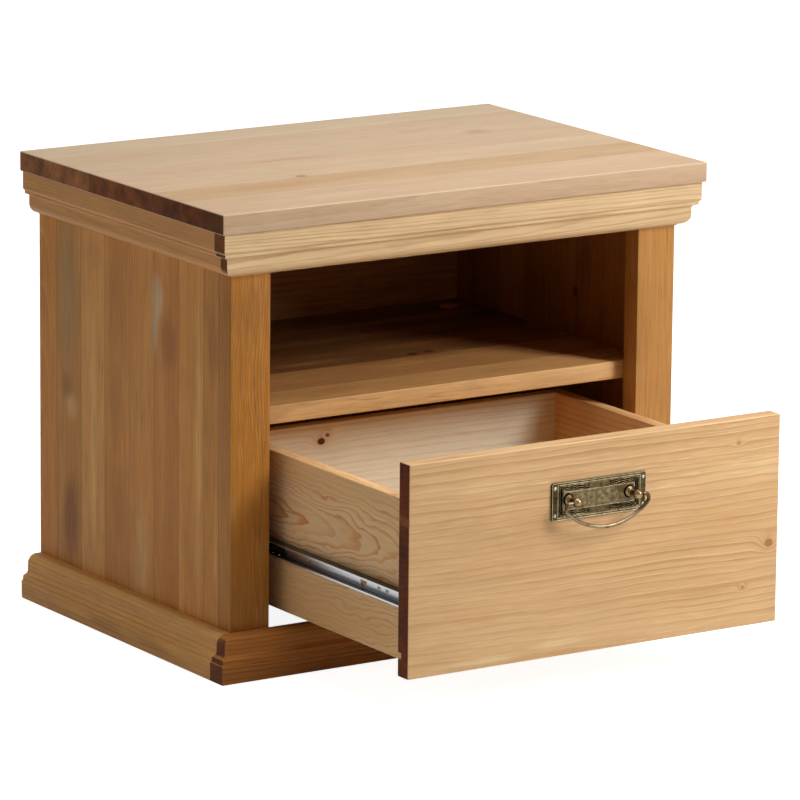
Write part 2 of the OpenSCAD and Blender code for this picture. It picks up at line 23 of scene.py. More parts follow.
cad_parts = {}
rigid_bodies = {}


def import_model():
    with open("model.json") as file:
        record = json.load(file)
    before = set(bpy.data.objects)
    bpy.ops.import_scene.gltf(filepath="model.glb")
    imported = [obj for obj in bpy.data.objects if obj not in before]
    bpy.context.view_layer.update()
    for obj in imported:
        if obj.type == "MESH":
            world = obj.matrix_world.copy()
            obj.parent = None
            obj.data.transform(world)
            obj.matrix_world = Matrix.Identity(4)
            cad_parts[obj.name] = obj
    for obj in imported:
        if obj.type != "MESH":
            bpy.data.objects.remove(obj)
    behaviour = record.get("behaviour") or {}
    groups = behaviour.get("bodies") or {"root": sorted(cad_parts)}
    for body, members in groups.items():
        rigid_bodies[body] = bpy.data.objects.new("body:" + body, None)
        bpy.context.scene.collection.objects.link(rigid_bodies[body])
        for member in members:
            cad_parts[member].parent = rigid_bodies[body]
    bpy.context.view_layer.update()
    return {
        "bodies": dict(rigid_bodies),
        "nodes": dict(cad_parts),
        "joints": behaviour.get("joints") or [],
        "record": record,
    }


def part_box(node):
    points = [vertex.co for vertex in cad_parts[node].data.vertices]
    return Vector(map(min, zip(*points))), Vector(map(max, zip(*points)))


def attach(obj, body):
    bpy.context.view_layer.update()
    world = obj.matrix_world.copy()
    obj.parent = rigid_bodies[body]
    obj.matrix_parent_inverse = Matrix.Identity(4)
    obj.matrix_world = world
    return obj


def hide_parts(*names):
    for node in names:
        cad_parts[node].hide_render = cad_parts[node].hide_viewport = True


log = logging.getLogger("nightstand")
MM = 0.001
GLUE_LINE = 0.8 * MM
Array = np.ndarray
Bands = tuple[tuple[float, str], ...]


class Axis(Enum):
    """A direction of the row frame that a board's grain or length can follow."""

    X = 0
    Y = 1
    Z = 2

    @property
    def cycle(self) -> tuple[int, int, int]:
        """The axis's number and the two that follow it in turn."""
        return self.value, (self.value + 1) % 3, (self.value + 2) % 3


# ---------------------------------------------------------------- colours and node expressions


def srgb(code: str) -> tuple[float, float, float, float]:
    """Turns a hex sRGB colour into the linear colour that a shader takes.

    Args:
        code: A colour such as "#c8a176".

    Returns:
        Linear red, green, blue and an alpha of 1.
    """
    parts = [int(code.lstrip("#")[i : i + 2], 16) / 255 for i in (0, 2, 4)]
    lin = [c / 12.92 if c <= 0.04045 else ((c + 0.055) / 1.055) ** 2.4 for c in parts]
    return lin[0], lin[1], lin[2], 1.0


@dataclass(frozen=True)
class Val:
    """A number, colour or vector in a node tree. Operators and methods add the nodes that work it out."""

    graph: "Graph"
    socket: bpy.types.NodeSocket

    def math(self, operation: str, *others: "Val | float") -> "Val":
        """Works out a number from this one."""
        return self.graph.node("Math", (self, *others), operation=operation)

    def __add__(self, other: "Val | float") -> "Val":
        """Sum."""
        return self.math("ADD", other)

    __radd__ = __add__

    def __sub__(self, other: "Val | float") -> "Val":
        """Difference."""
        return self.math("SUBTRACT", other)

    def __mul__(self, other: "Val | float") -> "Val":
        """Product."""
        return self.math("MULTIPLY", other)

    def __truediv__(self, other: "Val | float") -> "Val":
        """Quotient."""
        return self.math("DIVIDE", other)

    def abs(self) -> "Val":
        """Size without its sign."""
        return self.math("ABSOLUTE")

    def most(self, other: "Val") -> "Val":
        """The larger of two numbers."""
        return self.math("MAXIMUM", other)

    def hypot(self, other: "Val") -> "Val":
        """Square root of the sum of two squares."""
        return (self * self + other * other).math("SQRT")

    def bell(self) -> "Val":
        """Falls from 1 at zero as exp(-x*x)."""
        return (self * self * -1.0).math("EXPONENT")

    def step(self, lo: float, hi: float) -> "Val":
        """Rises smoothly from 0 at lo to 1 at hi, or falls where lo is above hi."""
        ends = (lo, hi, 0.0, 1.0) if lo < hi else (hi, lo, 1.0, 0.0)
        return self.graph.node("MapRange", (self, *ends), interpolation_type="SMOOTHSTEP")

    def split(self) -> tuple["Val", "Val", "Val"]:
        """The three numbers of a vector or colour."""
        outputs = self.graph.node("SeparateXYZ", (self,)).socket.node.outputs
        return tuple(Val(self.graph, outputs[i]) for i in range(3))

    def chance(self) -> tuple["Val", "Val", "Val"]:
        """Three numbers between 0 and 1 that depend only on this one's value."""
        return self.graph.node("TexWhiteNoise", {"W": self}, "Color", noise_dimensions="1D").split()


Paint = Val | str


class Graph:
    """The node tree of a material or of the world."""

    def __init__(self, owner: bpy.types.Material | bpy.types.World) -> None:
        """Turns on the owner's nodes.

        Args:
            owner: The material or world.
        """
        owner.use_nodes = True
        self.owner = owner
        self.nodes = owner.node_tree.nodes
        self.links = owner.node_tree.links

    def feed(self, socket: bpy.types.NodeSocket, value: "Val | float | str | None") -> None:
        """Links a value to an input, or sets the input to a plain number or hex colour.

        Args:
            socket: The input.
            value: What it gets, or None to leave it as it is.
        """
        if isinstance(value, Val):
            self.links.new(value.socket, socket)
        elif isinstance(value, str):
            socket.default_value = srgb(value)[: len(socket.default_value)]
        elif value is not None:
            socket.default_value = value

    def node(
        self, kind: str, feeds: Sequence | Mapping = (), out: int | str = 0, **settings: object
    ) -> Val:
        """Adds a node with its settings and links.

        Args:
            kind: The node's type without its first word.
            feeds: What goes into the inputs, in order or by name.
            out: The output that is read.
            settings: The node's own settings.

        Returns:
            The output.
        """
        made = self.nodes.new(f"ShaderNode{kind}")
        for name, value in settings.items():
            setattr(made, name, value)
        for key, value in feeds.items() if isinstance(feeds, Mapping) else enumerate(feeds):
            self.feed(made.inputs[key], value)
        return Val(self, made.outputs[out])

    def read(self, source: str) -> tuple[Val, Val, Val]:
        """Reads the shaded point's "Object" place in metres, or its outward "Normal"."""
        return self.node("TexCoord", (), source).split()

    def blend(self, base: Paint, top: Paint, share: Val) -> Val:
        """Lays a share of one colour over another."""
        return self.node("Mix", {0: share, 6: base, 7: top}, 2, data_type="RGBA", clamp_factor=True)

    def tone(self, color: Paint, level: Val) -> Val:
        """Makes a colour lighter or darker by a factor."""
        return self.node("VectorMath", {0: color, "Scale": level}, operation="SCALE")

    def finish(
        self, color: Paint, rough: Val, height: Val, depth: float, strength: float, metal: float = 0.0,
        **extra: float,
    ) -> bpy.types.Material:
        """Connects a material's colour, roughness and relief and sets its plain values.

        Args:
            color: The base colour.
            rough: The roughness.
            height: The surface's height, between 0 and 1.
            depth: What a height of 1 is, in metres.
            strength: How strongly the height bends the shading.
            metal: 1 for bare metal.
            extra: Other inputs of the shader by name, with underscores for spaces.

        Returns:
            The finished material.
        """
        inputs = self.nodes["Principled BSDF"].inputs
        bump = self.node("Bump", {"Strength": strength, "Distance": depth, "Height": height})
        plain = {name.replace("_", " "): value for name, value in extra.items()}
        feeds = {"Base Color": color, "Roughness": rough, "Normal": bump, "Metallic": metal, **plain}
        for name, value in feeds.items():
            self.feed(inputs[name], value)
        return self.owner


@dataclass(frozen=True)
class Figure:
    """One layer of a pattern.

    Attributes:
        across: How many of its marks lie in a metre.
        layers: How many finer layers are added.
        rough: How strong the finer layers are.
        along: How many marks lie in a metre along the grain, where they are drawn out.
    """

    across: float
    layers: float = 2.0
    rough: float = 0.5
    along: float | None = None

    def read(
        self, g: Graph, place: Sequence["Val | float"], grain: int = 0,
        shift: Sequence["Val | float"] = (0.0, 0.0, 0.0),
    ) -> tuple[Val, Val, Val]:
        """Adds the layer to a material.

        Args:
            g: The material's graph.
            place: The point that is read.
            grain: Which of the point's numbers runs along the grain.
            shift: What is added to each number, in marks.

        Returns:
            Three independent soft noises around 0.5.
        """
        counts = [self.along if self.along and i == grain else self.across for i in range(3)]
        at = g.node("CombineXYZ", [v * n + d for v, n, d in zip(place, counts, shift)])
        feeds = {"Vector": at, "Scale": 1.0, "Detail": self.layers, "Roughness": self.rough}
        return g.node("TexNoise", feeds, "Color").split()


# Pine's layers: slow and quick bends of the rings, cloudy and broad changes of tone, fibres about 4 mm
# wide and 7 cm long, and streaks and pores about 2 mm wide, which is as fine as shows.
SLOW = Figure(8.0, 1.0, 0.4, along=2.4)
QUICK = Figure(26.0, along=11.0)
BROAD = Figure(34.0, along=3.0)
CLOUDS = Figure(46.0, rough=0.6, along=19.0)
FIBRES = Figure(260.0, 3.0, 0.75, along=14.0)
PORES = Figure(560.0, 1.0, 0.6, along=30.0)
YEARS = Figure(1.0, 1.0, along=60.0)

# Metals and plastics: marks from rolling, casting and moulding, drawn as coarse as they need to show.
ROLLED = Figure(2500.0, along=8.0)
CAST_BLOTS = Figure(260.0, 4.0, 0.65)
CAST_GRIT = Figure(2600.0, 3.0, 0.6)
MOULDED = Figure(1800.0)


# ---------------------------------------------------------------- finishes


@dataclass(frozen=True)
class Knot:
    """A knot on a board: its place along the grain and across it, its radius and how strong it is.

    A strength of 0 leaves only the bend that the rings take round it.
    """

    along: float
    across: float
    radius: float
    tone: float = 1.0


@dataclass(frozen=True)
class Patch:
    """A soft, uneven spot of another colour on a board.

    Attributes:
        along: Its middle along the grain.
        across: Its middle across the grain.
        length: Its half-length along the grain.
        width: Its half-width.
        color: Its colour.
        share: How strongly it shows.
        ragged: How uneven its edge is.
    """

    along: float
    across: float
    length: float
    width: float
    color: str
    share: float = 0.5
    ragged: float = 0.8


@dataclass(frozen=True)
class Pine:
    """Varnished or bare pine, cut from logs whose rings circle a pith line beside the board.

    Attributes:
        bands: Where each glued stave starts across the board, with its base colour, from low to high.
        late: Colour of the narrow late wood.
        pale: Colour of the pale streaks.
        ends: Where each stave's cut end starts across the board, with its colour.
        grain: The direction of the fibres.
        across: The direction across the board's wide face.
        ring: Mean ring spacing.
        pith: Distance of the pith line behind the wide face.
        face: Where the wide face lies along the third direction.
        centre: Where the pith line lies across the board.
        spread: How far the pith line jumps sideways from stave to stave.
        slope: How steeply the pith line runs away from the face along the grain.
        middle: Where along the grain the pith line is at its stated distance.
        wander: How far slow waves bend the rings.
        ripple: How far quick waves bend them.
        curl: How short the quick waves are.
        contrast: How strongly the late wood shows.
        early: Share of each ring that is pale early wood.
        fleck: Strength of the short dark pores.
        fibre: Strength of the fine fibre lines.
        streak: Strength of the pale streaks.
        cloud: Strength of broad changes in tone.
        edge_sheen_and_wear: How pale the rounded edges are: painted highlight on the arrises, partly wear
            from handling.
        inner: Tone of the face that looks to the low side of the third direction, as painted shade inside.
        seam: How dark the glue lines between the staves are.
        rough: Roughness of the finish.
        coat: Weight of the clear varnish.
        seed: Picks the pattern.
        knots: Knots on the wide face.
        core: The knots' dark and light colours.
        patches: Spots of another colour.
    """

    bands: Bands
    late: str
    pale: str = "#e6c79a"
    ends: Bands = ((0.0, "#7a4a24"),)
    grain: Axis = Axis.X
    across: Axis = Axis.Y
    ring: float = 0.0032
    pith: float = 0.03
    face: float = 0.0
    centre: float = 0.0
    spread: float = 0.0
    slope: float = 0.02
    middle: float = 0.0
    wander: float = 0.004
    ripple: float = 0.0015
    curl: float = 1.0
    contrast: float = 0.4
    early: float = 0.25
    fleck: float = 0.30
    fibre: float = 0.42
    streak: float = 0.35
    cloud: float = 0.20
    edge_sheen_and_wear: float = 0.5
    inner: float = 1.0
    seam: float = 0.0
    rough: float = 0.44
    coat: float = 0.10
    seed: float = 1.0
    knots: tuple[Knot, ...] = ()
    core: tuple[str, str] = ("#4a2410", "#8a5227")
    patches: tuple[Patch, ...] = ()

    def banded(self, g: Graph, side: Val, bands: Bands) -> tuple[Paint, Val]:
        """Gives the colour of the stave that a point lies in.

        Args:
            g: The material's graph.
            side: The point's place across the board.
            bands: The staves' starts and colours.

        Returns:
            The colour and the stave's number.
        """
        blur = 0.3 * MM
        color: Paint = bands[0][1]
        number = side * 0.0
        for start, code in bands[1:]:
            past = side.step(start - blur, start + blur)
            color = g.blend(color, code, past)
            number = number + past
        return color, number

    def knotted(self, along: Val, side: Val, radius: Val, blur: Val) -> tuple[Val, tuple[Val, ...]]:
        """Bends the rings round the knots.

        Each knot is an ellipse, longer along the grain. It pushes the rings outwards by a bell round it, and
        has rings of its own, closer than the board's.

        Args:
            along: The point's place along the grain.
            side: Its place across.
            radius: The point's distance from the pith line.
            blur: A slow noise.

        Returns:
            The bent distance, then the knots' cores, halos and rings, or nothing where there is no knot.
        """
        marks: tuple[Val, ...] = ()
        for knot in self.knots:
            dist = ((along - knot.along) / (knot.radius * 1.3)).hypot((side - knot.across) / knot.radius)
            halo = (dist / 2.2).bell()
            radius = radius + halo * max(self.ring * 1.6, knot.radius * 0.5)
            rings = ((dist + blur * 0.5) * 14.0).math("SINE") * 0.5 + 0.5
            found = (dist.step(1.15, 0.75) * knot.tone, halo * knot.tone, rings)
            if marks:
                found = (marks[0].most(found[0]), marks[1].most(found[1]), marks[2] * rings)
            marks = found
        return radius, marks

    def rings(self, g: Graph, radius: Val, stave: Val) -> tuple[Val, Val, Val]:
        """Works out the year rings.

        The ring number is the distance from the pith line over the ring spacing. Its fraction rises slowly
        through pale early wood to dark late wood and drops back at once, as a year's growth does.

        Args:
            g: The material's graph.
            radius: The point's distance from the pith line.
            stave: The stave's number.

        Returns:
            The late wood, the pale rim after it, and this ring's chance strength.
        """
        count = radius / self.ring + (YEARS.read(g, (radius, self.seed, stave))[0] - 0.5) * 2.0
        part = count.math("FRACT")
        late = part.step(self.early, 0.90) * part.step(1.0, 0.92)
        luck = (count.math("FLOOR") + stave * 31.0).chance()[0] * 0.6 + 0.4
        return late, part.step(0.20, 0.03), luck

    def build(self, name: str) -> bpy.types.Material:
        """Makes the material: staves, year rings, fibres, cut ends, painted edge highlights, patches and
        knots.

        Args:
            name: The material's name.

        Returns:
            The material.
        """
        g = Graph(bpy.data.materials.new(name))
        place, facing = g.read("Object"), g.read("Normal")
        third = 3 - self.grain.value - self.across.value
        along, side, deep = (place[i] for i in (self.grain.value, self.across.value, third))
        color, stave = self.banded(g, side, self.bands)
        luck = (stave * 7.31 + self.seed * 3.7).chance()
        start = luck[0] * 9.0 + self.seed

        def layer(figure: Figure, run: Val, sway: Val, seed: float = 0.0) -> tuple[Val, Val, Val]:
            """Reads a layer, with the stave's own start along the grain."""
            return figure.read(g, (run, sway, deep), 0, (start, 0.0, seed))

        slow = layer(SLOW, along, side, self.seed)
        quick = layer(QUICK, along * self.curl, side * self.curl)
        sway = side + ((slow[0] - 0.5) * (self.wander * 2.0) + (quick[0] - 0.5) * (self.ripple * 2.0))
        hair = layer(FIBRES, along, sway)[0]
        clouds = layer(CLOUDS, along, sway)[0]
        lines = layer(PORES, along, sway, self.seed)
        broad = layer(BROAD, along, sway, self.seed)

        lean, dip = (self.slope, 0.0)
        if self.spread > 0:
            lean, dip = (luck[2] - 0.5) * (self.slope * 5.0), (luck[1] - 0.5) * self.pith
        depth = (deep - self.face).abs() + (along - self.middle) * lean + self.pith + dip
        depth = depth + (slow[1] - 0.5) * (self.wander * 2.0) + (quick[1] - 0.5) * self.ripple
        off = sway - self.centre + (luck[0] - 0.5) * self.spread
        radius, marks = self.knotted(along, side, off.hypot(depth), slow[2])
        late, rim, strength = self.rings(g, radius, stave)
        strength = strength * (broad[1] * 1.4 + 0.3) * (slow[2].step(0.38, 0.58) * 0.55 + 0.55)

        thin = lines[0].step(0.55, 0.70) * (broad[2].step(0.35, 0.65) * 0.8 + 0.2)
        streaks = broad[0].step(0.50, 0.66) * 0.3 + thin * 0.8 + rim * strength * 0.7
        color = g.blend(color, self.pale, streaks * self.streak)
        pores = lines[1].step(0.58, 0.72) * self.fleck
        color = g.blend(color, self.late, late * strength * self.contrast + pores)
        tone = (hair - 0.5) * self.fibre + (broad[0] + clouds - 1.0) * self.cloud + 1.0
        if self.seam > 0:
            glue = sum(((side - edge) / GLUE_LINE).bell() for edge, _ in self.bands)
            tone = tone * (glue * -self.seam + 1.0)
        color = g.tone(color, tone)

        cut = facing[self.grain.value].abs().step(0.60, 0.85)
        end, _ = self.banded(g, side, self.ends)
        mottle = ((clouds - 0.5) * 2.4 + 1.05) * (late * -0.30 + 1.08)
        color = g.blend(color, g.tone(end, tone * mottle), cut)
        # Rounded edges are paled: painted highlight along the arrises, partly wear where handling rubs the
        # stain off.
        flat = facing[0].abs().most(facing[1].abs()).most(facing[2].abs())
        color = g.blend(color, self.pale, flat.step(0.985, 0.88) * self.edge_sheen_and_wear)

        grainy = hair.step(0.35, 0.65) * 0.5 + late * 0.2 + 0.45
        for patch in self.patches:
            dist = ((along - patch.along) / patch.length).hypot((side - patch.across) / patch.width)
            dist = dist + (quick[2] + hair - 1.0) * patch.ragged
            color = g.blend(color, g.tone(patch.color, tone), dist.step(1.2, 0.25) * grainy * patch.share)
        # The inside face is darkened: painted shade.
        if self.inner < 1:
            inside_shade = (facing[third] * -1.0).step(0.5, 0.9)
            color = g.tone(color, inside_shade * (self.inner - 1.0) + 1.0)
        if marks:
            core, halo, turns = marks
            color = g.blend(color, self.late, halo * 0.38)
            color = g.blend(color, g.blend(*self.core, turns), core)
        return g.finish(
            color, late * -0.05 + hair * 0.1 + cut * 0.25 + (self.rough - 0.03), late * 0.5 + hair * 0.5,
            0.16 * MM, 0.4, Coat_Weight=self.coat, Coat_Roughness=0.3, Specular_IOR_Level=0.12,
        )


@dataclass(frozen=True)
class Metal:
    """Bare or plated metal with soft blotches, fine scratches, a little dirt and painted shade on its ledges.

    Attributes:
        light: Colour where it is rubbed or clean.
        dark: Colour where it is dull.
        rough: Roughness.
        blotch: How many blotches there are in a metre.
        dull: How much of the dark colour shows, from 0 to 1.
        lines: Direction of rolling lines, or None.
        depth: Height of the surface's unevenness in metres.
        ledge_shade_and_oil: How much darker the faces are that look up or down: painted shade, partly oil and
            dust.
    """

    light: str
    dark: str
    rough: float = 0.3
    blotch: float = 300.0
    dull: float = 0.5
    lines: Axis | None = None
    depth: float = 0.04 * MM
    ledge_shade_and_oil: float = 0.0

    def build(self, name: str) -> bpy.types.Material:
        """Makes the material from two noises, one for tarnish and one for scratches."""
        g = Graph(bpy.data.materials.new(name))
        place = g.read("Object")
        tarnish = Figure(self.blotch, 4.0, 0.6).read(g, place)[0]
        if self.lines is None:
            fine = Figure(self.blotch * 6.0, 3.0, 0.6).read(g, place)[0]
        else:
            fine = ROLLED.read(g, place, self.lines.value)[0]
        share = tarnish.step(0.62 - 0.35 * self.dull, 0.80 - 0.35 * self.dull)
        # Up and down faces take the dark colour: painted shade, partly oil and dust.
        if self.ledge_shade_and_oil > 0:
            share = share.most(g.read("Normal")[2].abs().step(0.35, 0.8) * self.ledge_shade_and_oil)
        color = g.tone(g.blend(self.light, self.dark, share), (fine - 0.5) * 0.25 + 1.0)
        rough = tarnish * 0.16 + (self.rough - 0.08)
        return g.finish(color, rough, fine * 0.5 + tarnish * 0.5, self.depth, 0.6, metal=1.0)


@dataclass(frozen=True)
class AgedPlate:
    """Antique brass: bright on the raised lines and nearly black in the hollows of the relief.

    Attributes:
        light: Colour of the rubbed high places.
        mid: Colour of the flat ground.
        dark: Colour of the hollows.
        front: Where the plate's outermost face lies along Y.
        depth: How deep the relief is.
    """

    light: str
    mid: str
    dark: str
    front: float
    depth: float

    def build(self, name: str) -> bpy.types.Material:
        """Makes the material: the colour follows how far the point lies below the plate's outermost face."""
        g = Graph(bpy.data.materials.new(name))
        place = g.read("Object")
        blot, fine = (figure.read(g, place)[0] for figure in (CAST_BLOTS, CAST_GRIT))
        low = (place[1] - self.front) / self.depth + (blot - 0.5) * 0.5
        color = g.blend(self.light, self.mid, low.step(0.05, 0.40))
        color = g.blend(color, self.dark, low.step(0.45, 0.72))
        color = g.blend(color, self.dark, blot.step(0.50, 0.75) * 0.5)
        color = g.tone(color, (fine - 0.5) * 0.3 + 1.0)
        return g.finish(color, blot * 0.2 + 0.30, fine * 0.5 + blot * 0.5, 0.03 * MM, 0.5, metal=1.0)


@dataclass(frozen=True)
class Plastic:
    """Moulded plastic or rubber with a fine even grain.

    Attributes:
        color: The colour.
        shade: A darker tone that the grain mixes in.
        rough: Roughness.
        clear: How clear it is, from 0 to 1.
    """

    color: str
    shade: str
    rough: float
    clear: float = 0.0

    def build(self, name: str) -> bpy.types.Material:
        """Makes the material from one fine noise."""
        g = Graph(bpy.data.materials.new(name))
        grain = MOULDED.read(g, g.read("Object"))[0]
        color = g.blend(self.color, self.shade, grain.step(0.35, 0.75) * 0.6)
        rough = grain * 0.15 + (self.rough - 0.07)
        return g.finish(color, rough, grain, 0.03 * MM, 0.5, Transmission_Weight=self.clear)


class Finishes:
    """The named finishes, made once each."""

    def __init__(self) -> None:
        """Builds every material of the nightstand but the handle's plate."""
        self.panels()
        self.mouldings()
        self.drawer()
        self.fittings()

    def panels(self) -> None:
        """The varnished boards of the case."""
        # Planed pine staves under a thin clear varnish: pale and warm, with a soft sheen and dark cut ends.
        self.top = Pine(
            bands=(
                (-0.350, "#c7a888"), (-0.282, "#c09d78"), (-0.2325, "#c9ad8c"), (-0.185, "#c8a98a"),
                (-0.140, "#c9ad8e"), (-0.090, "#c7a989"), (-0.045, "#cbb292"),
            ),
            late="#a57b52", pale="#d7c1a3",
            ends=(
                (-0.350, "#573117"), (-0.317, "#6e3b1c"), (-0.300, "#733f1d"), (-0.278, "#66391e"),
                (-0.240, "#74411f"), (-0.197, "#76421c"), (-0.123, "#905a31"), (-0.043, "#7e4a24"),
                (-0.025, "#8b562c"),
            ),
            face=0.41, ring=0.0040, spread=0.10, slope=0.03, contrast=0.20, fibre=0.36, fleck=0.22,
            cloud=0.12, rough=0.46, coat=0.08, seed=3.0,
            knots=(Knot(-0.098, -0.229, 0.0042, 0.42), Knot(0.157, -0.120, 0.006, 0.14)),
            patches=(
                Patch(-0.140, -0.256, 0.060, 0.016, "#b5895d", 0.45),
                Patch(-0.075, -0.154, 0.060, 0.004, "#b18254", 0.5),
                Patch(0.157, -0.122, 0.018, 0.014, "#b1885f", 0.35),
                Patch(0.105, -0.090, 0.020, 0.010, "#b58c64", 0.35),
                Patch(-0.200, -0.153, 0.020, 0.004, "#b4895e", 0.5),
                Patch(0.235, -0.240, 0.012, 0.012, "#b58c64", 0.4),
            ),
        ).build("varnished_pine_top")
        # Glued pine staves under a honey-coloured varnish: upright grain, fine glue lines and a few marks.
        panel = Pine(
            bands=(
                (-0.310, "#c4843a"), (-0.285, "#d18e42"), (-0.243, "#c57f37"), (-0.201, "#cd893f"),
                (-0.159, "#c48139"), (-0.116, "#d6964e"), (-0.074, "#bf8139"), (-0.031, "#cb8437"),
            ),
            late="#955c23", pale="#e0ae67", ends=((0.0, "#8b562a"),), grain=Axis.Z, face=-0.230,
            ring=0.0034, pith=0.020, spread=0.12, slope=0.03, middle=0.2, wander=0.003, contrast=0.26,
            fibre=0.58, fleck=0.34, streak=0.50, cloud=0.22, seam=0.30, seed=14.0,
            knots=(
                Knot(0.178, -0.078, 0.020, 0.0), Knot(0.110, -0.036, 0.018, 0.0),
                Knot(0.262, -0.232, 0.022, 0.0),
            ),
            patches=(
                Patch(0.290, -0.052, 0.110, 0.019, "#a68555", 0.8),
                Patch(0.186, -0.058, 0.016, 0.014, "#d9ac6b", 0.9),
                Patch(0.205, -0.048, 0.014, 0.012, "#7b5324", 0.6),
                Patch(0.085, -0.056, 0.050, 0.016, "#82491c", 0.9),
                Patch(0.312, -0.206, 0.022, 0.013, "#cdad84", 1.0, 1.3),
                Patch(0.286, -0.202, 0.028, 0.0075, "#cdad84", 1.0, 0.9),
                Patch(0.275, -0.226, 0.030, 0.018, "#a36226", 0.9),
                Patch(0.285, -0.300, 0.040, 0.012, "#9a5d22", 0.8),
                Patch(0.290, -0.137, 0.060, 0.016, "#b27035", 0.5),
                Patch(0.200, -0.137, 0.040, 0.016, "#b06e2f", 0.6),
                Patch(0.110, -0.140, 0.040, 0.014, "#ac6a2e", 0.7),
                Patch(0.165, -0.096, 0.130, 0.007, "#e5b571", 0.6),
                Patch(0.080, -0.180, 0.055, 0.012, "#dcac70", 0.7),
                Patch(0.200, -0.276, 0.150, 0.005, "#e5b26f", 0.6),
                Patch(0.060, -0.225, 0.060, 0.018, "#b36d2e", 0.5),
                Patch(0.330, -0.100, 0.020, 0.016, "#ba7d3e", 0.6),
                Patch(0.050, -0.170, 0.030, 0.008, "#c39563", 0.6),
                Patch(0.110, -0.262, 0.080, 0.018, "#b4742f", 0.5),
            ),
        )
        self.side = panel.build("varnished_pine_side")
        # The other side panel shows its inner face duller and a tone darker; the darker tone is painted
        # shade.
        self.side_right = replace(
            panel, inner=0.62, face=0.214, seed=22.0, fibre=0.4, late="#7d4f26",
            knots=(Knot(0.318, -0.100, 0.006, 0.9), Knot(0.270, -0.200, 0.004, 0.8)),
            patches=(Patch(0.300, -0.215, 0.030, 0.012, "#8f5c2c", 0.6),),
        ).build("varnished_pine_side_right")
        # A single narrow board of the same varnished pine, deeper in colour and with close upright rings.
        stile = replace(
            panel, bands=((0.0, "#b37630"),), late="#7c4c1e", pale="#cc9e6a", across=Axis.X, face=-0.33,
            centre=-0.26, ring=0.0022, spread=0.0, slope=0.012, contrast=0.40, fibre=0.75, fleck=0.34,
            # The dark patch just under the cornice on the left stile is painted shade.
            streak=0.45, cloud=0.20, seed=31.0, patches=(Patch(0.318, -0.212, 0.030, 0.020, "#8f5c29"),),
        )
        self.stile_left = stile.build("varnished_pine_stile_left")
        self.stile_right = replace(
            stile, bands=((0.0, "#bb8446"),), late="#915c28", pale="#cda164", centre=0.26, contrast=0.26,
            seed=35.0, patches=(),
        ).build("varnished_pine_stile_right")
        # The varnished shelf, with three small knots: its staves darken from the front edge to the back as
        # painted shade.
        self.shelf = replace(
            panel,
            bands=(
                (-0.33, "#dcae78"), (-0.3085, "#d09a60"), (-0.262, "#b98350"), (-0.200, "#875b35"),
                (-0.140, "#6a482a"), (-0.07, "#604126"),
            ),
            grain=Axis.X, face=0.2295, ring=0.0040, slope=0.05, middle=0.0, contrast=0.40, cloud=0.3,
            seed=41.0,
            knots=(Knot(0.058, -0.090, 0.0055), Knot(0.043, -0.192, 0.0045), Knot(0.062, -0.190, 0.0042)),
            patches=(
                Patch(-0.060, -0.180, 0.060, 0.012, "#d3a068"),
                Patch(-0.150, -0.235, 0.040, 0.010, "#a2662f", 0.4),
            ),
        ).build("varnished_pine_shelf")
        # The thin back panel: rotary-cut pine with broad rings and hardly any sheen.
        self.back = replace(
            panel, bands=((0.0, "#bd8c58"),), late="#8d5e33", grain=Axis.X, across=Axis.Z, face=0.0,
            centre=0.2, ring=0.005, pith=0.05, spread=0.0, rough=0.6, coat=0.0, seed=47.0, patches=(),
        ).build("matt_pine_back")

    def mouldings(self) -> None:
        """The moulded strips under the top and round the foot."""
        # Moulded pine strips, lightly varnished: straight, close rings that follow the moulding.
        edge = Pine(
            bands=((0.0, "#e1c194"),), late="#ae844f", ends=((0.0, "#6f3f12"),), across=Axis.Z, face=-0.35,
            centre=0.37, ring=0.0019, pith=0.014, slope=0.015, wander=0.002, contrast=0.62, early=0.5,
            fleck=0.2, edge_sheen_and_wear=0.2, seed=8.0,
        )
        self.cornice = edge.build("varnished_pine_cornice")
        self.cornice_side = replace(
            edge, bands=((0.0, "#c99051"),), late="#98622d", pale="#daa463", grain=Axis.Y, face=-0.25,
            contrast=0.45, seed=9.0,
        ).build("varnished_pine_cornice_side")
        # The moulded plinth: the same varnish over darker pine, brown in front and paler at the side.
        self.plinth = replace(
            edge, bands=((0.0, "#c47e3c"),), late="#744017", pale="#d39356", ends=((0.0, "#64361d"),),
            centre=-0.01, ring=0.0036, contrast=0.65, streak=0.2, edge_sheen_and_wear=0.1, seed=53.0,
        ).build("varnished_pine_plinth")
        self.plinth_side = replace(
            edge, bands=((0.0, "#da9f5c"),), late="#a06b35", pale="#facc82", grain=Axis.Y, face=-0.25,
            centre=-0.02, ring=0.0042, contrast=0.4, seed=57.0,
            patches=(
                Patch(-0.085, 0.012, 0.045, 0.006, "#f2ba5f", 0.6),
                Patch(-0.150, 0.010, 0.030, 0.005, "#a66e33", 0.5),
                Patch(-0.270, 0.012, 0.030, 0.006, "#efb65f", 0.55),
                Patch(-0.240, 0.008, 0.040, 0.005, "#a66e33", 0.45),
            ),
        ).build("varnished_pine_plinth_side")

    def drawer(self) -> None:
        """The drawer's varnished front and its bare box."""
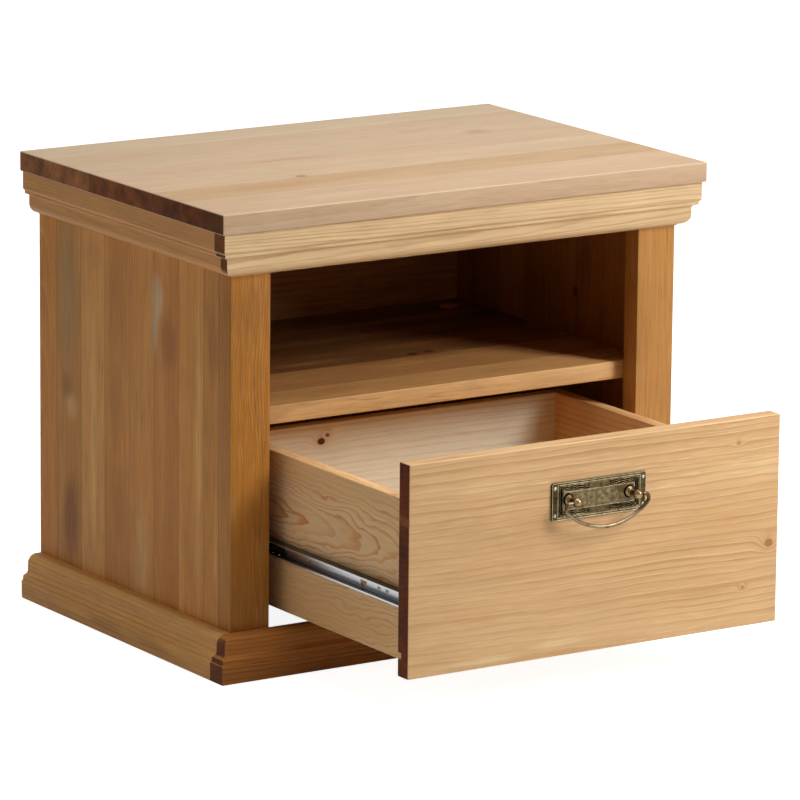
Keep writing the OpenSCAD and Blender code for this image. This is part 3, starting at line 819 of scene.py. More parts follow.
        # One wide sawn and planed board, varnished: long wavy rings and one small knot near its right end.
        self.drawer_front = Pine(
            bands=((0.0, "#d2a878"),), late="#af7e49", pale="#e6cda0", ends=((0.0, "#572404"),),
            across=Axis.Z, face=-0.548, centre=0.030, ring=0.0060, slope=0.035, wander=0.007, ripple=0.0034,
            contrast=0.52, early=0.5, fibre=0.36, fleck=0.14, streak=0.50, cloud=0.16, rough=0.42, coat=0.06,
            seed=63.0, core=("#96551f", "#c48a4c"),
            knots=(
                Knot(0.180, 0.1145, 0.0036, 0.75), Knot(0.146, 0.2065, 0.0014, 0.3),
                Knot(0.153, 0.0785, 0.0014, 0.6),
            ),
            patches=(
                Patch(-0.1895, 0.178, 0.0006, 0.005, "#8f5632", 0.8),
                Patch(-0.060, 0.160, 0.070, 0.012, "#c0915f", 0.4),
                Patch(0.130, 0.140, 0.060, 0.020, "#c99b63", 0.4),
                # These two thin pale lines low on the front are painted highlights off raised grain.
                Patch(-0.120, 0.050, 0.050, 0.003, "#e6ce9d", 0.7),
                Patch(-0.040, 0.055, 0.030, 0.003, "#e6ce9d", 0.7),
                Patch(0.150, 0.185, 0.060, 0.006, "#dcbb89", 0.5),
            ),
        ).build("varnished_pine_drawer_front")
        # Bare planed pine inside the drawer: matt and pale, with orange arches where the cut meets the heart.
        raw = Pine(
            bands=((0.0, "#e4bf8f"),), late="#cf7d35", pale="#edd2ab", ends=((0.0, "#bb8d59"),),
            grain=Axis.Y, across=Axis.Z, face=-0.176, centre=0.141, ring=0.0040, pith=0.004, slope=-0.10,
            middle=-0.24, wander=0.012, ripple=0.0085, curl=2.2, contrast=0.78, early=0.45, fibre=0.22,
            fleck=0.15, streak=0.3, cloud=0.12, rough=0.62, coat=0.0, seed=71.0,
            patches=(
                Patch(-0.380, 0.184, 0.200, 0.018, "#daae78", 0.92, 0.4),
                Patch(-0.380, 0.070, 0.200, 0.036, "#d7a76d", 0.80, 0.3),
                Patch(-0.290, 0.145, 0.035, 0.010, "#c47627"),
                Patch(-0.340, 0.142, 0.014, 0.0008, "#572f10", 0.8),
            ),
        )
        self.raw_left = raw.build("bare_pine_drawer_left")
        # The rest of the box: calmer boards of the same bare pine, warm on the right and nearly white behind.
        calm = replace(
            raw, curl=1.0, contrast=0.35, wander=0.004, ripple=0.0015, pith=0.03, slope=0.02, centre=0.0,
            ring=0.0055, patches=(),
        )
        self.raw_right = replace(
            calm, bands=((0.0, "#dfae78"),), late="#b57438", pale="#e8c28e", face=0.164, centre=0.03,
            pith=0.02, slope=0.10, middle=-0.30, contrast=0.6, seed=76.0,
        ).build("bare_pine_drawer_right")
        self.raw_back = replace(
            calm, bands=((0.0, "#ece4ca"),), pale="#f4f8ea", grain=Axis.X, face=-0.244, centre=0.05,
            seed=79.0, knots=(Knot(-0.085, 0.1745, 0.0032), Knot(-0.0785, 0.1795, 0.0018, 0.8)),
        ).build("bare_pine_drawer_back")
        self.raw_bottom = replace(
            calm, grain=Axis.X, across=Axis.Y, face=0.064, centre=-0.4, pith=0.06, seed=83.0
        ).build("bare_pine_drawer_bottom")
        self.raw_block = replace(calm, face=0.188, centre=0.05, seed=88.0).build("bare_pine_packer")
        # Turned beech dowels: plain, pale and matt.
        self.dowel = replace(calm, grain=Axis.X, contrast=0.2, seed=91.0).build("turned_beech_dowel")

    def fittings(self) -> None:
        """The metal and plastic of the slides, the fasteners, the bail and the small parts."""
        # Rolled steel with bright zinc: a grey mirror drawn out along the rail, dark on up and down faces as
        # painted shade and oil.
        rolled = Metal("#d6d9dc", "#34373b", 0.30, 30.0, -0.5, Axis.Y, 0.0005 * MM, 0.92)
        self.zinc = rolled.build("zinc_plated_rolled_steel")
        # Zinc-plated screws and polished steel balls: small bright points.
        self.screw = Metal("#c9cbcd", "#8a8c8f", blotch=500.0).build("zinc_plated_screw_steel")
        self.ball = Metal("#dfe1e4", "#b9bcc0", rough=0.12, dull=0.2).build("polished_ball_steel")
        # Die-cast zinc: grey and matt.
        self.cam = Metal("#a9abad", "#707274", rough=0.42, dull=0.6).build("die_cast_zinc")
        # Brass wire, pins and turned posts, aged dark and rubbed warm by hands.
        bail = Metal("#8b7960", "#604c36", rough=0.34, blotch=70.0, depth=0.004 * MM)
        self.bail = bail.build("rubbed_brass_wire")
        pin = Metal("#c9bfa3", "#7d6c4c", blotch=400.0, dull=0.3, depth=0.006 * MM)
        self.pin = pin.build("rubbed_brass_pin")
        post = Metal("#a58a66", "#6a5236", rough=0.33, blotch=110.0, dull=0.6, depth=0.006 * MM)
        self.post = post.build("aged_turned_brass")
        # Moulded plastic caps in the colour of the wood, with an even, slightly shiny skin.
        self.cap = Plastic("#d09a62", "#b07c48", 0.4).build("moulded_plastic_cap")
        # Soft clear rubber, and the black moulded retainer of the balls.
        self.bumper = Plastic("#e6e8e8", "#c9cccc", 0.25, 0.6).build("clear_soft_rubber")
        self.cage = Plastic("#17181a", "#0b0b0c", 0.35).build("moulded_black_nylon")


# ---------------------------------------------------------------- meshes


def mesh_object(
    name: str, verts: Array, faces: Iterable[Sequence[int]], smooth: float | None = None, mend: bool = False
) -> bpy.types.Object:
    """Makes an object whose place is in its mesh.

    Args:
        name: The object's name.
        verts: Points, one row each, in metres.
        faces: Point numbers round each face.
        smooth: The edge angle in degrees above which an edge stays sharp, or None for flat faces.
        mend: Whether doubled points are merged and the faces turned outwards.

    Returns:
        The object, linked to the scene.
    """
    mesh = bpy.data.meshes.new(name)
    mesh.from_pydata(np.asarray(verts, float).tolist(), [], [list(map(int, f)) for f in faces])
    mesh.update()
    mesh.validate()
    if mend:
        bm = bmesh.new()
        bm.from_mesh(mesh)
        bmesh.ops.remove_doubles(bm, verts=bm.verts, dist=1e-7)
        bmesh.ops.dissolve_degenerate(bm, edges=bm.edges, dist=1e-7)
        bmesh.ops.recalc_face_normals(bm, faces=bm.faces)
        bm.to_mesh(mesh)
        bm.free()
    if smooth is not None:
        mesh.shade_smooth()
        mesh.set_sharp_from_angle(angle=math.radians(smooth))
    obj = bpy.data.objects.new(name, mesh)
    bpy.context.scene.collection.objects.link(obj)
    return obj


def grid_faces(rows: int, cols: int, wrap: bool = False, base: int = 0) -> Array:
    """Quads over a grid of points stored row by row.

    Args:
        rows: Number of rows.
        cols: Number of points in a row.
        wrap: Whether the last column joins the first.
        base: Number of the grid's first point.

    Returns:
        An array with four point numbers in each row.
    """
    i, j = np.meshgrid(np.arange(rows - 1), np.arange(cols if wrap else cols - 1), indexing="ij")
    k = (j + 1) % cols
    quads = np.stack([i * cols + j, i * cols + k, (i + 1) * cols + k, (i + 1) * cols + j], -1)
    return quads.reshape(-1, 4) + base


def capped_faces(rows: int, cols: int) -> list[list[int]]:
    """Faces of a tube of rings, with one flat face over each end."""
    ends = [list(range(cols))[::-1], list(range((rows - 1) * cols, rows * cols))]
    return grid_faces(rows, cols, wrap=True).tolist() + ends


def corners(node: str) -> tuple[Array, Array]:
    """A solid's lowest and highest corner as arrays."""
    lo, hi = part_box(node)
    return np.array(lo), np.array(hi)


def ccw(outline: Array) -> Array:
    """An outline turned counter-clockwise."""
    ahead = np.roll(outline, -1, 0)
    area = np.sum(outline[:, 0] * ahead[:, 1] - ahead[:, 0] * outline[:, 1])
    return outline if area > 0 else outline[::-1]


def arc(cu: float, cv: float, ru: float, rv: float, start: float, end: float, n: int = 10) -> Array:
    """Points on an ellipse's arc from one angle to another, in degrees."""
    ang = np.radians(np.linspace(start, end, n + 1))
    return np.stack([cu + ru * np.cos(ang), cv + rv * np.sin(ang)], -1)


def rounded_rect(lo: Sequence[float], hi: Sequence[float], r: float, n: int = 4) -> Array:
    """A rectangle's outline with quarter-circle corners, counter-clockwise.

    Args:
        lo: Its lowest coordinates.
        hi: Its highest coordinates.
        r: Corner radius.
        n: Steps in each corner.

    Returns:
        The outline's points.
    """
    (u0, v0), (u1, v1) = np.add(lo, r), np.subtract(hi, r)
    middles = ((u1, v1), (u0, v1), (u0, v0), (u1, v0))
    return np.concatenate([arc(u, v, r, r, 90 * q, 90 * q + 90, n) for q, (u, v) in enumerate(middles)])


def notched(
    lo: Sequence[float], hi: Sequence[float], r: float, side: int, a: float, b: float, depth: float
) -> Array:
    """A rounded rectangle with one square groove.

    Args:
        lo: Its lowest coordinates.
        hi: Its highest coordinates.
        r: Corner radius.
        side: The side with the groove: 0 at the first coordinate's high end, 1 at the second's, 2 at the
            first's low end, 3 at the second's.
        a: Where the groove starts along its side.
        b: Where it ends.
        depth: How deep it is.

    Returns:
        The outline's points, counter-clockwise.
    """
    steps = 4
    base = rounded_rect(lo, hi, r, steps)
    if side in (1, 2):
        a, b = b, a
    edge = (hi if side < 2 else lo)[side % 2]
    floor = edge - depth if side < 2 else edge + depth
    cut = np.array([[edge, a], [floor, a], [floor, b], [edge, b]])
    at = (side or 4) * (steps + 1)
    return np.concatenate([base[:at], cut[:, ::-1] if side % 2 else cut, base[at:]])


def carried(
    name: str, outline: Array, along: Axis, lo: float, hi: float, edge: float, steps: int = 3,
    smooth: float = 40.0,
) -> bpy.types.Object:
    """A closed outline carried along an axis, with its two ends rounded over.

    At a distance x from an end the outline is drawn in by edge - sqrt(edge^2 - (edge - x)^2), along outward
    directions that are long enough to move each of its edges by that much.

    Args:
        name: The object's name.
        outline: Points in the two other axes in cyclic order, counter-clockwise.
        along: The axis that the outline is carried along.
        lo: Where it starts.
        hi: Where it ends.
        edge: Radius of the rounded ends.
        steps: Steps in each rounded end.
        smooth: Edge angle in degrees above which an edge stays sharp.

    Returns:
        The object.
    """
    ahead = np.roll(outline, -1, 0) - outline
    ahead /= np.linalg.norm(ahead, axis=1, keepdims=True)
    after = np.stack([ahead[:, 1], -ahead[:, 0]], -1)
    before = np.roll(after, 1, 0)
    out = (before + after) / np.maximum(1e-9, 1 + np.sum(before * after, 1, keepdims=True))
    angle = np.linspace(0, math.pi / 2, steps + 1)
    inset, depth = edge * (1 - np.sin(angle)), edge * (1 - np.cos(angle))
    station = np.concatenate([lo + depth, (hi - depth)[::-1]])
    shrink = np.concatenate([inset, inset[::-1]])
    rings = outline[None] - shrink[:, None, None] * out[None]
    i, j, k = along.cycle
    verts = np.empty((*rings.shape[:2], 3))
    verts[..., i] = station[:, None]
    verts[..., j], verts[..., k] = rings[..., 0], rings[..., 1]
    return mesh_object(name, verts.reshape(-1, 3), capped_faces(len(station), len(outline)), smooth)


def tube(name: str, path: Array, radius: Array, turns: int = 20) -> bpy.types.Object:
    """A round wire along a path in a plane of constant Y, with closed ends.

    Args:
        name: The object's name.
        path: Points along the wire's middle.
        radius: The wire's radius at each point.
        turns: Steps round the wire.

    Returns:
        The object.
    """
    ahead = np.gradient(path, axis=0)
    ahead /= np.linalg.norm(ahead, axis=1, keepdims=True)
    up = np.array([0.0, 1.0, 0.0])
    side = np.cross(ahead, up)
    ang = np.linspace(0, 2 * math.pi, turns, endpoint=False)
    ring = side[:, None] * np.cos(ang)[None, :, None] + up[None, None] * np.sin(ang)[None, :, None]
    verts = path[:, None] + ring * radius[:, None, None]
    return mesh_object(name, verts.reshape(-1, 3), capped_faces(len(path), turns), 60.0, mend=True)


@dataclass
class Shells:
    """Turned shapes that go into one mesh. Each is a stack of rings with a point at both ends."""

    verts: list[Array] = field(default_factory=list)
    faces: list[list[int]] = field(default_factory=list)

    def add(self, axis: Axis, sign: float, origin: Array, dist: Array, radius: Array, turns: int) -> None:
        """Adds a shape: distance d and radius r at the angle a go to d, r cos(a) and r sin(a).

        Args:
            axis: The axis that it is turned about.
            sign: +1 or -1 for which way distances run along the axis.
            origin: Where distances start.
            dist: The first point's distance, each ring's, alike all round or by angle, and the last point's.
            radius: The rings' radii.
            turns: Steps round the axis.
        """
        ang = np.linspace(0, 2 * math.pi, turns, endpoint=False)
        i, j, k = axis.cycle
        rows = len(radius)
        grid = np.empty((rows, turns, 3))
        grid[..., i] = origin[i] + sign * dist[1:-1]
        grid[..., j] = origin[j] + radius[:, None] * np.cos(ang)
        grid[..., k] = origin[k] + sign * radius[:, None] * np.sin(ang)
        tips = np.tile(origin, (2, 1))
        tips[:, i] += sign * dist[[0, -1], 0]
        base = sum(len(v) for v in self.verts)
        first = base + np.arange(turns)
        last, tip = first + (rows - 1) * turns, base + rows * turns
        self.verts += [grid.reshape(-1, 3), tips]
        self.faces += grid_faces(rows, turns, wrap=True, base=base).tolist()
        for point, ring in ((tip, first[::-1]), (tip + 1, last)):
            self.faces += np.stack([np.full(turns, point), ring, np.roll(ring, -1)], -1).tolist()

    def object(self, name: str, smooth: float, mend: bool = False) -> bpy.types.Object:
        """Makes the object that holds all the shapes."""
        return mesh_object(name, np.concatenate(self.verts), self.faces, smooth, mend)


@dataclass(frozen=True)
class ScrewKind:
    """A cross-headed screw. Heights are measured from the head's outermost point, inwards.

    Attributes:
        dome: Height of a round head's dome, or 0 for a countersunk head.
        head: Height of a round head.
        shank: The shank's radius as a share of the head's.
        recess: Half the cross's length as a share of the head's radius.
    """

    dome: float = 0.0
    head: float = 2.2 * MM
    shank: float = 0.55
    recess: float = 0.55

    def add_to(self, shells: Shells, points: Array) -> None:
        """Builds one screw where a plain one lies.

        The head is a disc of rings, sunk along two crossed arms, and the rings then follow the cone or the
        dome down to the shank, which carries a shallow thread.

        Args:
            shells: What it is added to.
            points: The plain screw's points. It lies along its longest side, with its wide end outwards.
        """
        turns, sink, pitch = 24, 1.1 * MM, 0.6 * MM
        lo, hi = points.min(0), points.max(0)
        axis = Axis(int(np.argmax(hi - lo)))
        i = axis.value
        length = float(hi[i] - lo[i])
        off = points - (lo + hi) / 2
        off[:, i] = 0
        reach = np.linalg.norm(off, axis=1)
        high = reach[points[:, i] > hi[i] - 0.2 * length].max()
        low = reach[points[:, i] < lo[i] + 0.2 * length].max()
        radius = float(max(high, low))
        tip = (lo + hi) / 2
        tip[i] = hi[i] if high > low else lo[i]

        shank = radius * self.shank
        disc = np.linspace(0.02, 1.0, 12)
        rise = self.dome * (1 - np.sqrt(np.clip(1 - (disc * 0.98) ** 2, 0, 1)))
        neck = np.array([[radius, 0.3 * MM], [shank, 0.3 * MM + radius - shank]])
        if self.dome:
            neck[:, 1] = self.head
        start = neck[-1, 1]
        rows = np.linspace(start, length - shank, 2 * max(6, int((length - start) / pitch)))
        thread = shank * (1 - 0.12 * (np.arange(len(rows)) % 2))
        r = np.concatenate([disc * radius, neck[:, 0], thread, [0.3 * shank]])
        d = np.concatenate([rise, neck[:, 1], rows, [length]])
        ang = np.linspace(0, 2 * math.pi, turns, endpoint=False)
        u, v = (np.abs(disc[:, None] * radius * wave(ang)) for wave in (np.cos, np.sin))
        arm, wide = self.recess * radius, 0.17 * radius
        arms = [
            np.clip((arm - a) / (0.3 * MM), 0, 1) * np.clip((wide - b) / (0.2 * MM), 0, 1)
            for a, b in ((u, v), (v, u))
        ]
        dist = np.repeat(np.concatenate([[sink], d, [length]])[:, None], turns, 1)
        dist[1 : 1 + len(disc)] += np.maximum(*arms) * sink
        shells.add(axis, -1.0 if high > low else 1.0, tip, dist, r, turns)


# ---------------------------------------------------------------- the pieces


@dataclass
class Piece:
    """Places an object on its body, in the solid's stead, and gives it its finish.

    Attributes:
        frame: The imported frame.
        finishes: The named finishes.
    """

    frame: dict
    finishes: Finishes

    def add(
        self, obj: bpy.types.Object, body: str, slot: str, material: bpy.types.Material, node: str
    ) -> None:
        """Lets an object ride on a body and stand for a solid of the frame.

        Args:
            obj: The object.
            body: The body's name.
            slot: The record's material slot; not used.
            material: The material.
            node: The solid that it stands for.
        """
        obj.data.materials.append(material)
        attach(obj, body)
        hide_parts(node)
        log.info("%s: %d faces on %s", obj.name, len(obj.data.polygons), body)

    def dress(self, material: bpy.types.Material, *nodes: str) -> None:
        """Gives solids of the frame a material by assigning to their slots.

        Args:
            material: The material.
            nodes: The solids' names.
        """
        for node in nodes:
            obj = self.frame["nodes"][node]
            if not obj.material_slots:
                obj.data.materials.append(material)
            for slot in obj.material_slots:
                slot.material = material
            log.info("%s: kept from the frame", node)

    def solids(self, node: str) -> list[Array]:
        """The separate solids of a frame node.

        Points at the same place count as one, and the lowest point number is handed along the triangles until
        nothing changes, so every solid ends with one number of its own.

        Args:
            node: The node's name.

        Returns:
            The points of each solid.
        """
        mesh = self.frame["nodes"][node].data
        co = np.empty(len(mesh.vertices) * 3)
        mesh.vertices.foreach_get("co", co)
        mesh.calc_loop_triangles()
        tri = np.empty(len(mesh.loop_triangles) * 3, int)
        mesh.loop_triangles.foreach_get("vertices", tri)
        points, number = np.unique(np.round(co.reshape(-1, 3), 6), axis=0, return_inverse=True)
        tri = number.reshape(-1)[tri].reshape(-1, 3)
        label, last = np.arange(len(points)), None
        while last is None or (label != last).any():
            last = label.copy()
            for k in range(3):
                np.minimum.at(label, tri[:, k], last[tri].min(1))
        return [points[label == k] for k in np.unique(label[tri])]

    def turned(
        self, name: str, node: str, axis: Axis, sign: float, turns: int, make: Callable[[float, float], Array]
    ) -> bpy.types.Object:
        """Turns every solid of a node from a profile of [distance along the axis, radius].

        Args:
            name: The object's name.
            node: The node with the plain solids.
            axis: The axis that they are turned about.
            sign: +1 to start at the solid's low end, -1 to start at its high end.
            turns: Steps round the axis.
            make: Gives the profile from a solid's length and radius, with both ends at radius 0.

        Returns:
            One object with all the shapes.
        """
        shells = Shells()
        i = axis.value
        for points in self.solids(node):
            lo, hi = points.min(0), points.max(0)
            origin = (lo + hi) / 2
            origin[i] = lo[i] if sign > 0 else hi[i]
            size = hi - lo
            profile = make(size[i], np.delete(size, i)[0] / 2)
            shells.add(axis, sign, origin, profile[:, :1], profile[1:-1, 1], turns)
        return shells.object(name, 50.0)

    def screws(self, kind: ScrewKind, node: str, body: str) -> None:
        """Replaces a node's plain screws by ones with a cross and a thread.

        Args:
            kind: The kind of screw.
            node: The node.
            body: The body that they ride on.
        """
        shells = Shells()
        for points in self.solids(node):
            kind.add_to(shells, points)
        screws = shells.object(f"{node}_cross", 35.0, mend=True)
        self.add(screws, body, "screw_steel", self.finishes.screw, node)


@dataclass
class Cabinet(Piece):
    """The fixed case: top, mouldings, stiles, shelf, and the joinery that holds them.

    Attributes:
        reach: How far the mouldings' backs lie in from the top's edge.
    """

    reach: float = 20 * MM

    def build(self) -> None:
        """Builds and dresses every piece of the case."""
        f = self.finishes
        self.board("top_board", Axis.X, 1.3 * MM, "pine_top", f.top)
        self.board("stile_left", Axis.Z, 0.5 * MM, "pine_body", f.stile_left)
        self.board("stile_right", Axis.Z, 0.5 * MM, "pine_body", f.stile_right)
        self.board("shelf", Axis.X, 0.9 * MM, "pine_body", f.shelf)
        self.moulding("cornice", self.cornice(), "pine_pale", f.cornice, f.cornice_side)
        self.moulding("plinth", self.plinth(), "pine_dark", f.plinth, f.plinth_side)
        self.hidden()
        self.fittings()

    def board(self, node: str, along: Axis, r: float, slot: str, material: bpy.types.Material) -> None:
        """Replaces a plain board by one with rounded edges.

        Args:
            node: The board's node.
            along: Its long axis.
            r: Radius of its edges.
            slot: Its material slot.
            material: Its finish.
        """
        lo, hi = corners(node)
        i, *others = along.cycle
        outline = rounded_rect(lo[others], hi[others], r)
        self.add(carried(f"{node}_board", outline, along, lo[i], hi[i], r), "cabinet", slot, material, node)

    def cornice(self) -> Array:
        """The outline of the moulding under the top, as [distance in from the top's edge, height].

        It goes round a small bead under a flat, a quarter-round nose and a hollow.
        """
        h, back = corners("top_board")[1][2] / MM, self.reach / MM
        return MM * np.concatenate([
            [[back, h - 18], [3.2, h - 18]], arc(4.4, h - 33.6, 1.2, 1.2, 180, 235, 4), [[5.0, h - 36.2]],
            arc(5.6, h - 38.2, 0.6, 0.6, 180, 250, 4), arc(5.2, h - 41.5, 4.3, 2.6, 84, 0, 8),
            arc(18.5, h - 48.0, 9.0, 9.0, 180, 270, 16), [[18.5, h - 58.0], [back, h - 58.0]],
        ])

    def plinth(self) -> Array:
        """The outline of the moulding round the foot, as [distance in from the top's edge, height].

        It goes round an upright foot, a nose and a hollow.
        """
        back = self.reach / MM
        return MM * np.concatenate([
            [[back, 0.0]], arc(1.5, 1.5, 1.5, 1.5, 270, 180, 5), arc(0.7, 16.3, 0.7, 0.7, 180, 90, 4),
            [[1.5, 17.3], [1.5, 19.0], [1.7, 20.6]], arc(2.2, 26.0, 4.3, 4.4, 270, 360, 10),
            arc(15.0, 31.0, 8.5, 9.0, 180, 90, 16), [[back, 40.0]],
        ])

    def moulding(
        self, kind: str, pts: Array, slot: str, front: bpy.types.Material, side: bpy.types.Material
    ) -> None:
        """Builds a moulding: a front strip with returned ends, mitred at the corners, and two side strips.

        Args:
            kind: The first word of its nodes' names.
            pts: Its outline as [distance in from the top's edge, height].
            slot: Its material slot.
            front: The front strip's finish.
            side: The side strips' finish.
        """
        lo, _ = corners("top_board")
        u, z = pts[:, 0], pts[:, 1]
        stop, turn = np.full_like(u, lo[1] + self.reach), lo[1] + u
        rows = ((lo[0] + u, stop), (lo[0] + u, turn), (-lo[0] - u, turn), (-lo[0] - u, stop))
        verts = np.concatenate([np.stack([x, y, z], -1) for x, y in rows])
        strip = mesh_object(f"{kind}_front_strip", verts, capped_faces(4, len(pts)), 32.0, mend=True)
        self.add(strip, "cabinet", slot, front, f"{kind}_front")
        for word, sign in (("left", 1.0), ("right", -1.0)):
            node = f"{kind}_{word}"
            a, b = corners(node)
            outline = ccw(np.stack([z, sign * (lo[0] + u)], -1))
            strip = carried(f"{node}_strip", outline, Axis.Y, a[1], b[1], 0.05 * MM, 1, 32.0)
            self.add(strip, "cabinet", slot, side, node)

    def hidden(self) -> None:
        """The panels, rails, packers and joinery that keep the frame's own shape."""
        f = self.finishes
        self.dress(f.side, "side_left")
        self.dress(f.side_right, "side_right")
        self.dress(f.back, "back_panel", "top_rail_front", "top_rail_back", "base_rail_back")
        self.dress(f.raw_block, "packer_left", "packer_right")
        self.dress(f.dowel, "top_dowels", "stile_dowels", "rail_dowels", "shelf_dowels", "drawer_dowels")
        self.dress(f.cam, "cam_housings", "cam_bolts")
        self.dress(f.screw, "top_screws", "cornice_screws", "plinth_screws", "cabinet_rail_screws")

    def fittings(self) -> None:
        """The shelf's cover caps and the case's screws that show."""

        def cap(h: float, r: float) -> Array:
            """A flat disc with a rounded upper edge."""
            round_off = 0.7 * MM
            edge = arc(r - round_off, h - round_off, round_off, round_off, 0, 90, 5)[:, ::-1]
            top = [[h - 0.1 * MM, 0.5 * r], [h - 0.12 * MM, 0]]
            return np.concatenate([[[0, 0], [0, r - 0.1 * MM], [0.3 * MM, r]], edge, top])

        caps = self.turned("cover_cap_discs", "cover_caps", Axis.Z, 1.0, 48, cap)
        self.add(caps, "cabinet", "cap_plastic", self.finishes.cap, "cover_caps")
        for node in ("back_screws", "packer_screws"):
            self.screws(ScrewKind(), node, "cabinet")


@dataclass
class Drawer(Piece):
    """The drawer: a grooved front, a plain pine box, its screws and its bumpers.

    Attributes:
        groove: Depth of the grooves that hold the bottom panel.
    """

    groove: float = 5.0 * MM

    def grooved(self, node: str, along: Axis, side: int, r: float, edge: float) -> bpy.types.Object:
        """Builds a board with the bottom panel's groove along it.

        Args:
            node: The board's node.
            along: Its long axis.
            side: The side with the groove, as notched() counts it.
            r: Radius of its long edges.
            edge: Radius of its ends.

        Returns:
            The object.
        """
        lo, hi = corners(node)
        low, high = (c[2] for c in corners("drawer_bottom"))
        i, *others = along.cycle
        outline = notched(lo[others], hi[others], r, side, low, high, self.groove)
        return carried(f"{node}_board", outline, along, lo[i], hi[i], edge)

    def build(self) -> None:
        """Builds and dresses every piece of the drawer but its handle."""
        f = self.finishes
        front = self.grooved("drawer_front", Axis.X, 0, 1.3 * MM, 0.9 * MM)
        self.add(front, "drawer", "pine_pale", f.drawer_front, "drawer_front")
        for word, along, side, edge, material in (
            ("side_left", Axis.Y, 1, 0.3 * MM, f.raw_left),
            ("side_right", Axis.Y, 3, 0.3 * MM, f.raw_right),
            ("back", Axis.X, 2, 0.1 * MM, f.raw_back),
        ):
            board = self.grooved(f"drawer_{word}", along, side, 0.8 * MM, edge)
            self.add(board, "drawer", "pine_raw", material, f"drawer_{word}")
        self.dress(f.raw_bottom, "drawer_bottom")
        for node in ("drawer_rail_screws", "drawer_box_screws"):
            self.screws(ScrewKind(shank=0.5), node, "drawer")
        self.screws(ScrewKind(dome=1.6 * MM, shank=0.48, recess=0.5), "post_screws", "drawer")

        def pad(h: float, r: float) -> Array:
            """A low dome with a wide foot."""
            dome = 1.6 * MM
            return np.concatenate([[[0, 0], [0, r]], arc(h - dome, 0.0, dome, r, 90, 4, 8), [[h, 0]]])

        pads = self.turned("bumper_pads", "front_bumpers", Axis.Y, 1.0, 32, pad)
        self.add(pads, "drawer", "clear_rubber", f.bumper, "front_bumpers")


@dataclass
class Slides(Piece):
    """The two ball slides: a fixed rail, a moving rail, a retainer and its balls on each side."""

    def rail(self, side: str, sign: float) -> None:
        """Builds a fixed rail with its rolled section, open towards the drawer.

        Args:
            side: Its side.
            sign: +1 on the right, -1 on the left.
        """
        half = np.array([
            [0, 4.4], [2.7, 4.4], [3.2, 4.25], [5.0, 3.2], [5.6, 3.08], [8.8, 3.08], [9.2, 3.0], [9.2, 2.1],
            [4.8, 2.1], [2.6, 3.4], [1.0, 3.4],
        ]) * MM
        section = np.concatenate([half, half[::-1] * [1, -1]])
        node = f"cabinet_rail_{side}"
        lo, hi = corners(node)
        face = corners("packer_right")[0][0]
        outline = ccw(np.stack([(lo[2] + hi[2]) / 2 + section[:, 1], sign * (face - section[:, 0])], -1))
        obj = carried(f"{node}_rolled", outline, Axis.Y, lo[1], hi[1], 0.15 * MM, 2, 38.0)
        self.add(obj, "cabinet", "zinc_steel", self.finishes.zinc, node)

    def build(self) -> None:
        """Builds the fixed rails, dresses the moving rails and the retainers, and turns the balls."""
        f = self.finishes
        for side, sign in (("left", -1.0), ("right", 1.0)):
            self.dress(f.zinc, f"drawer_rail_{side}")
            self.rail(side, sign)
            self.dress(f.cage, f"ball_cage_{side}")
            node = f"balls_{side}"
            balls = self.turned(
                f"{node}_round", node, Axis.Z, 1.0, 18, lambda h, r: arc(h / 2, 0.0, r, r, 180, 0)
            )
            self.add(balls, f"cage_{side}", "ball_steel", f.ball, node)


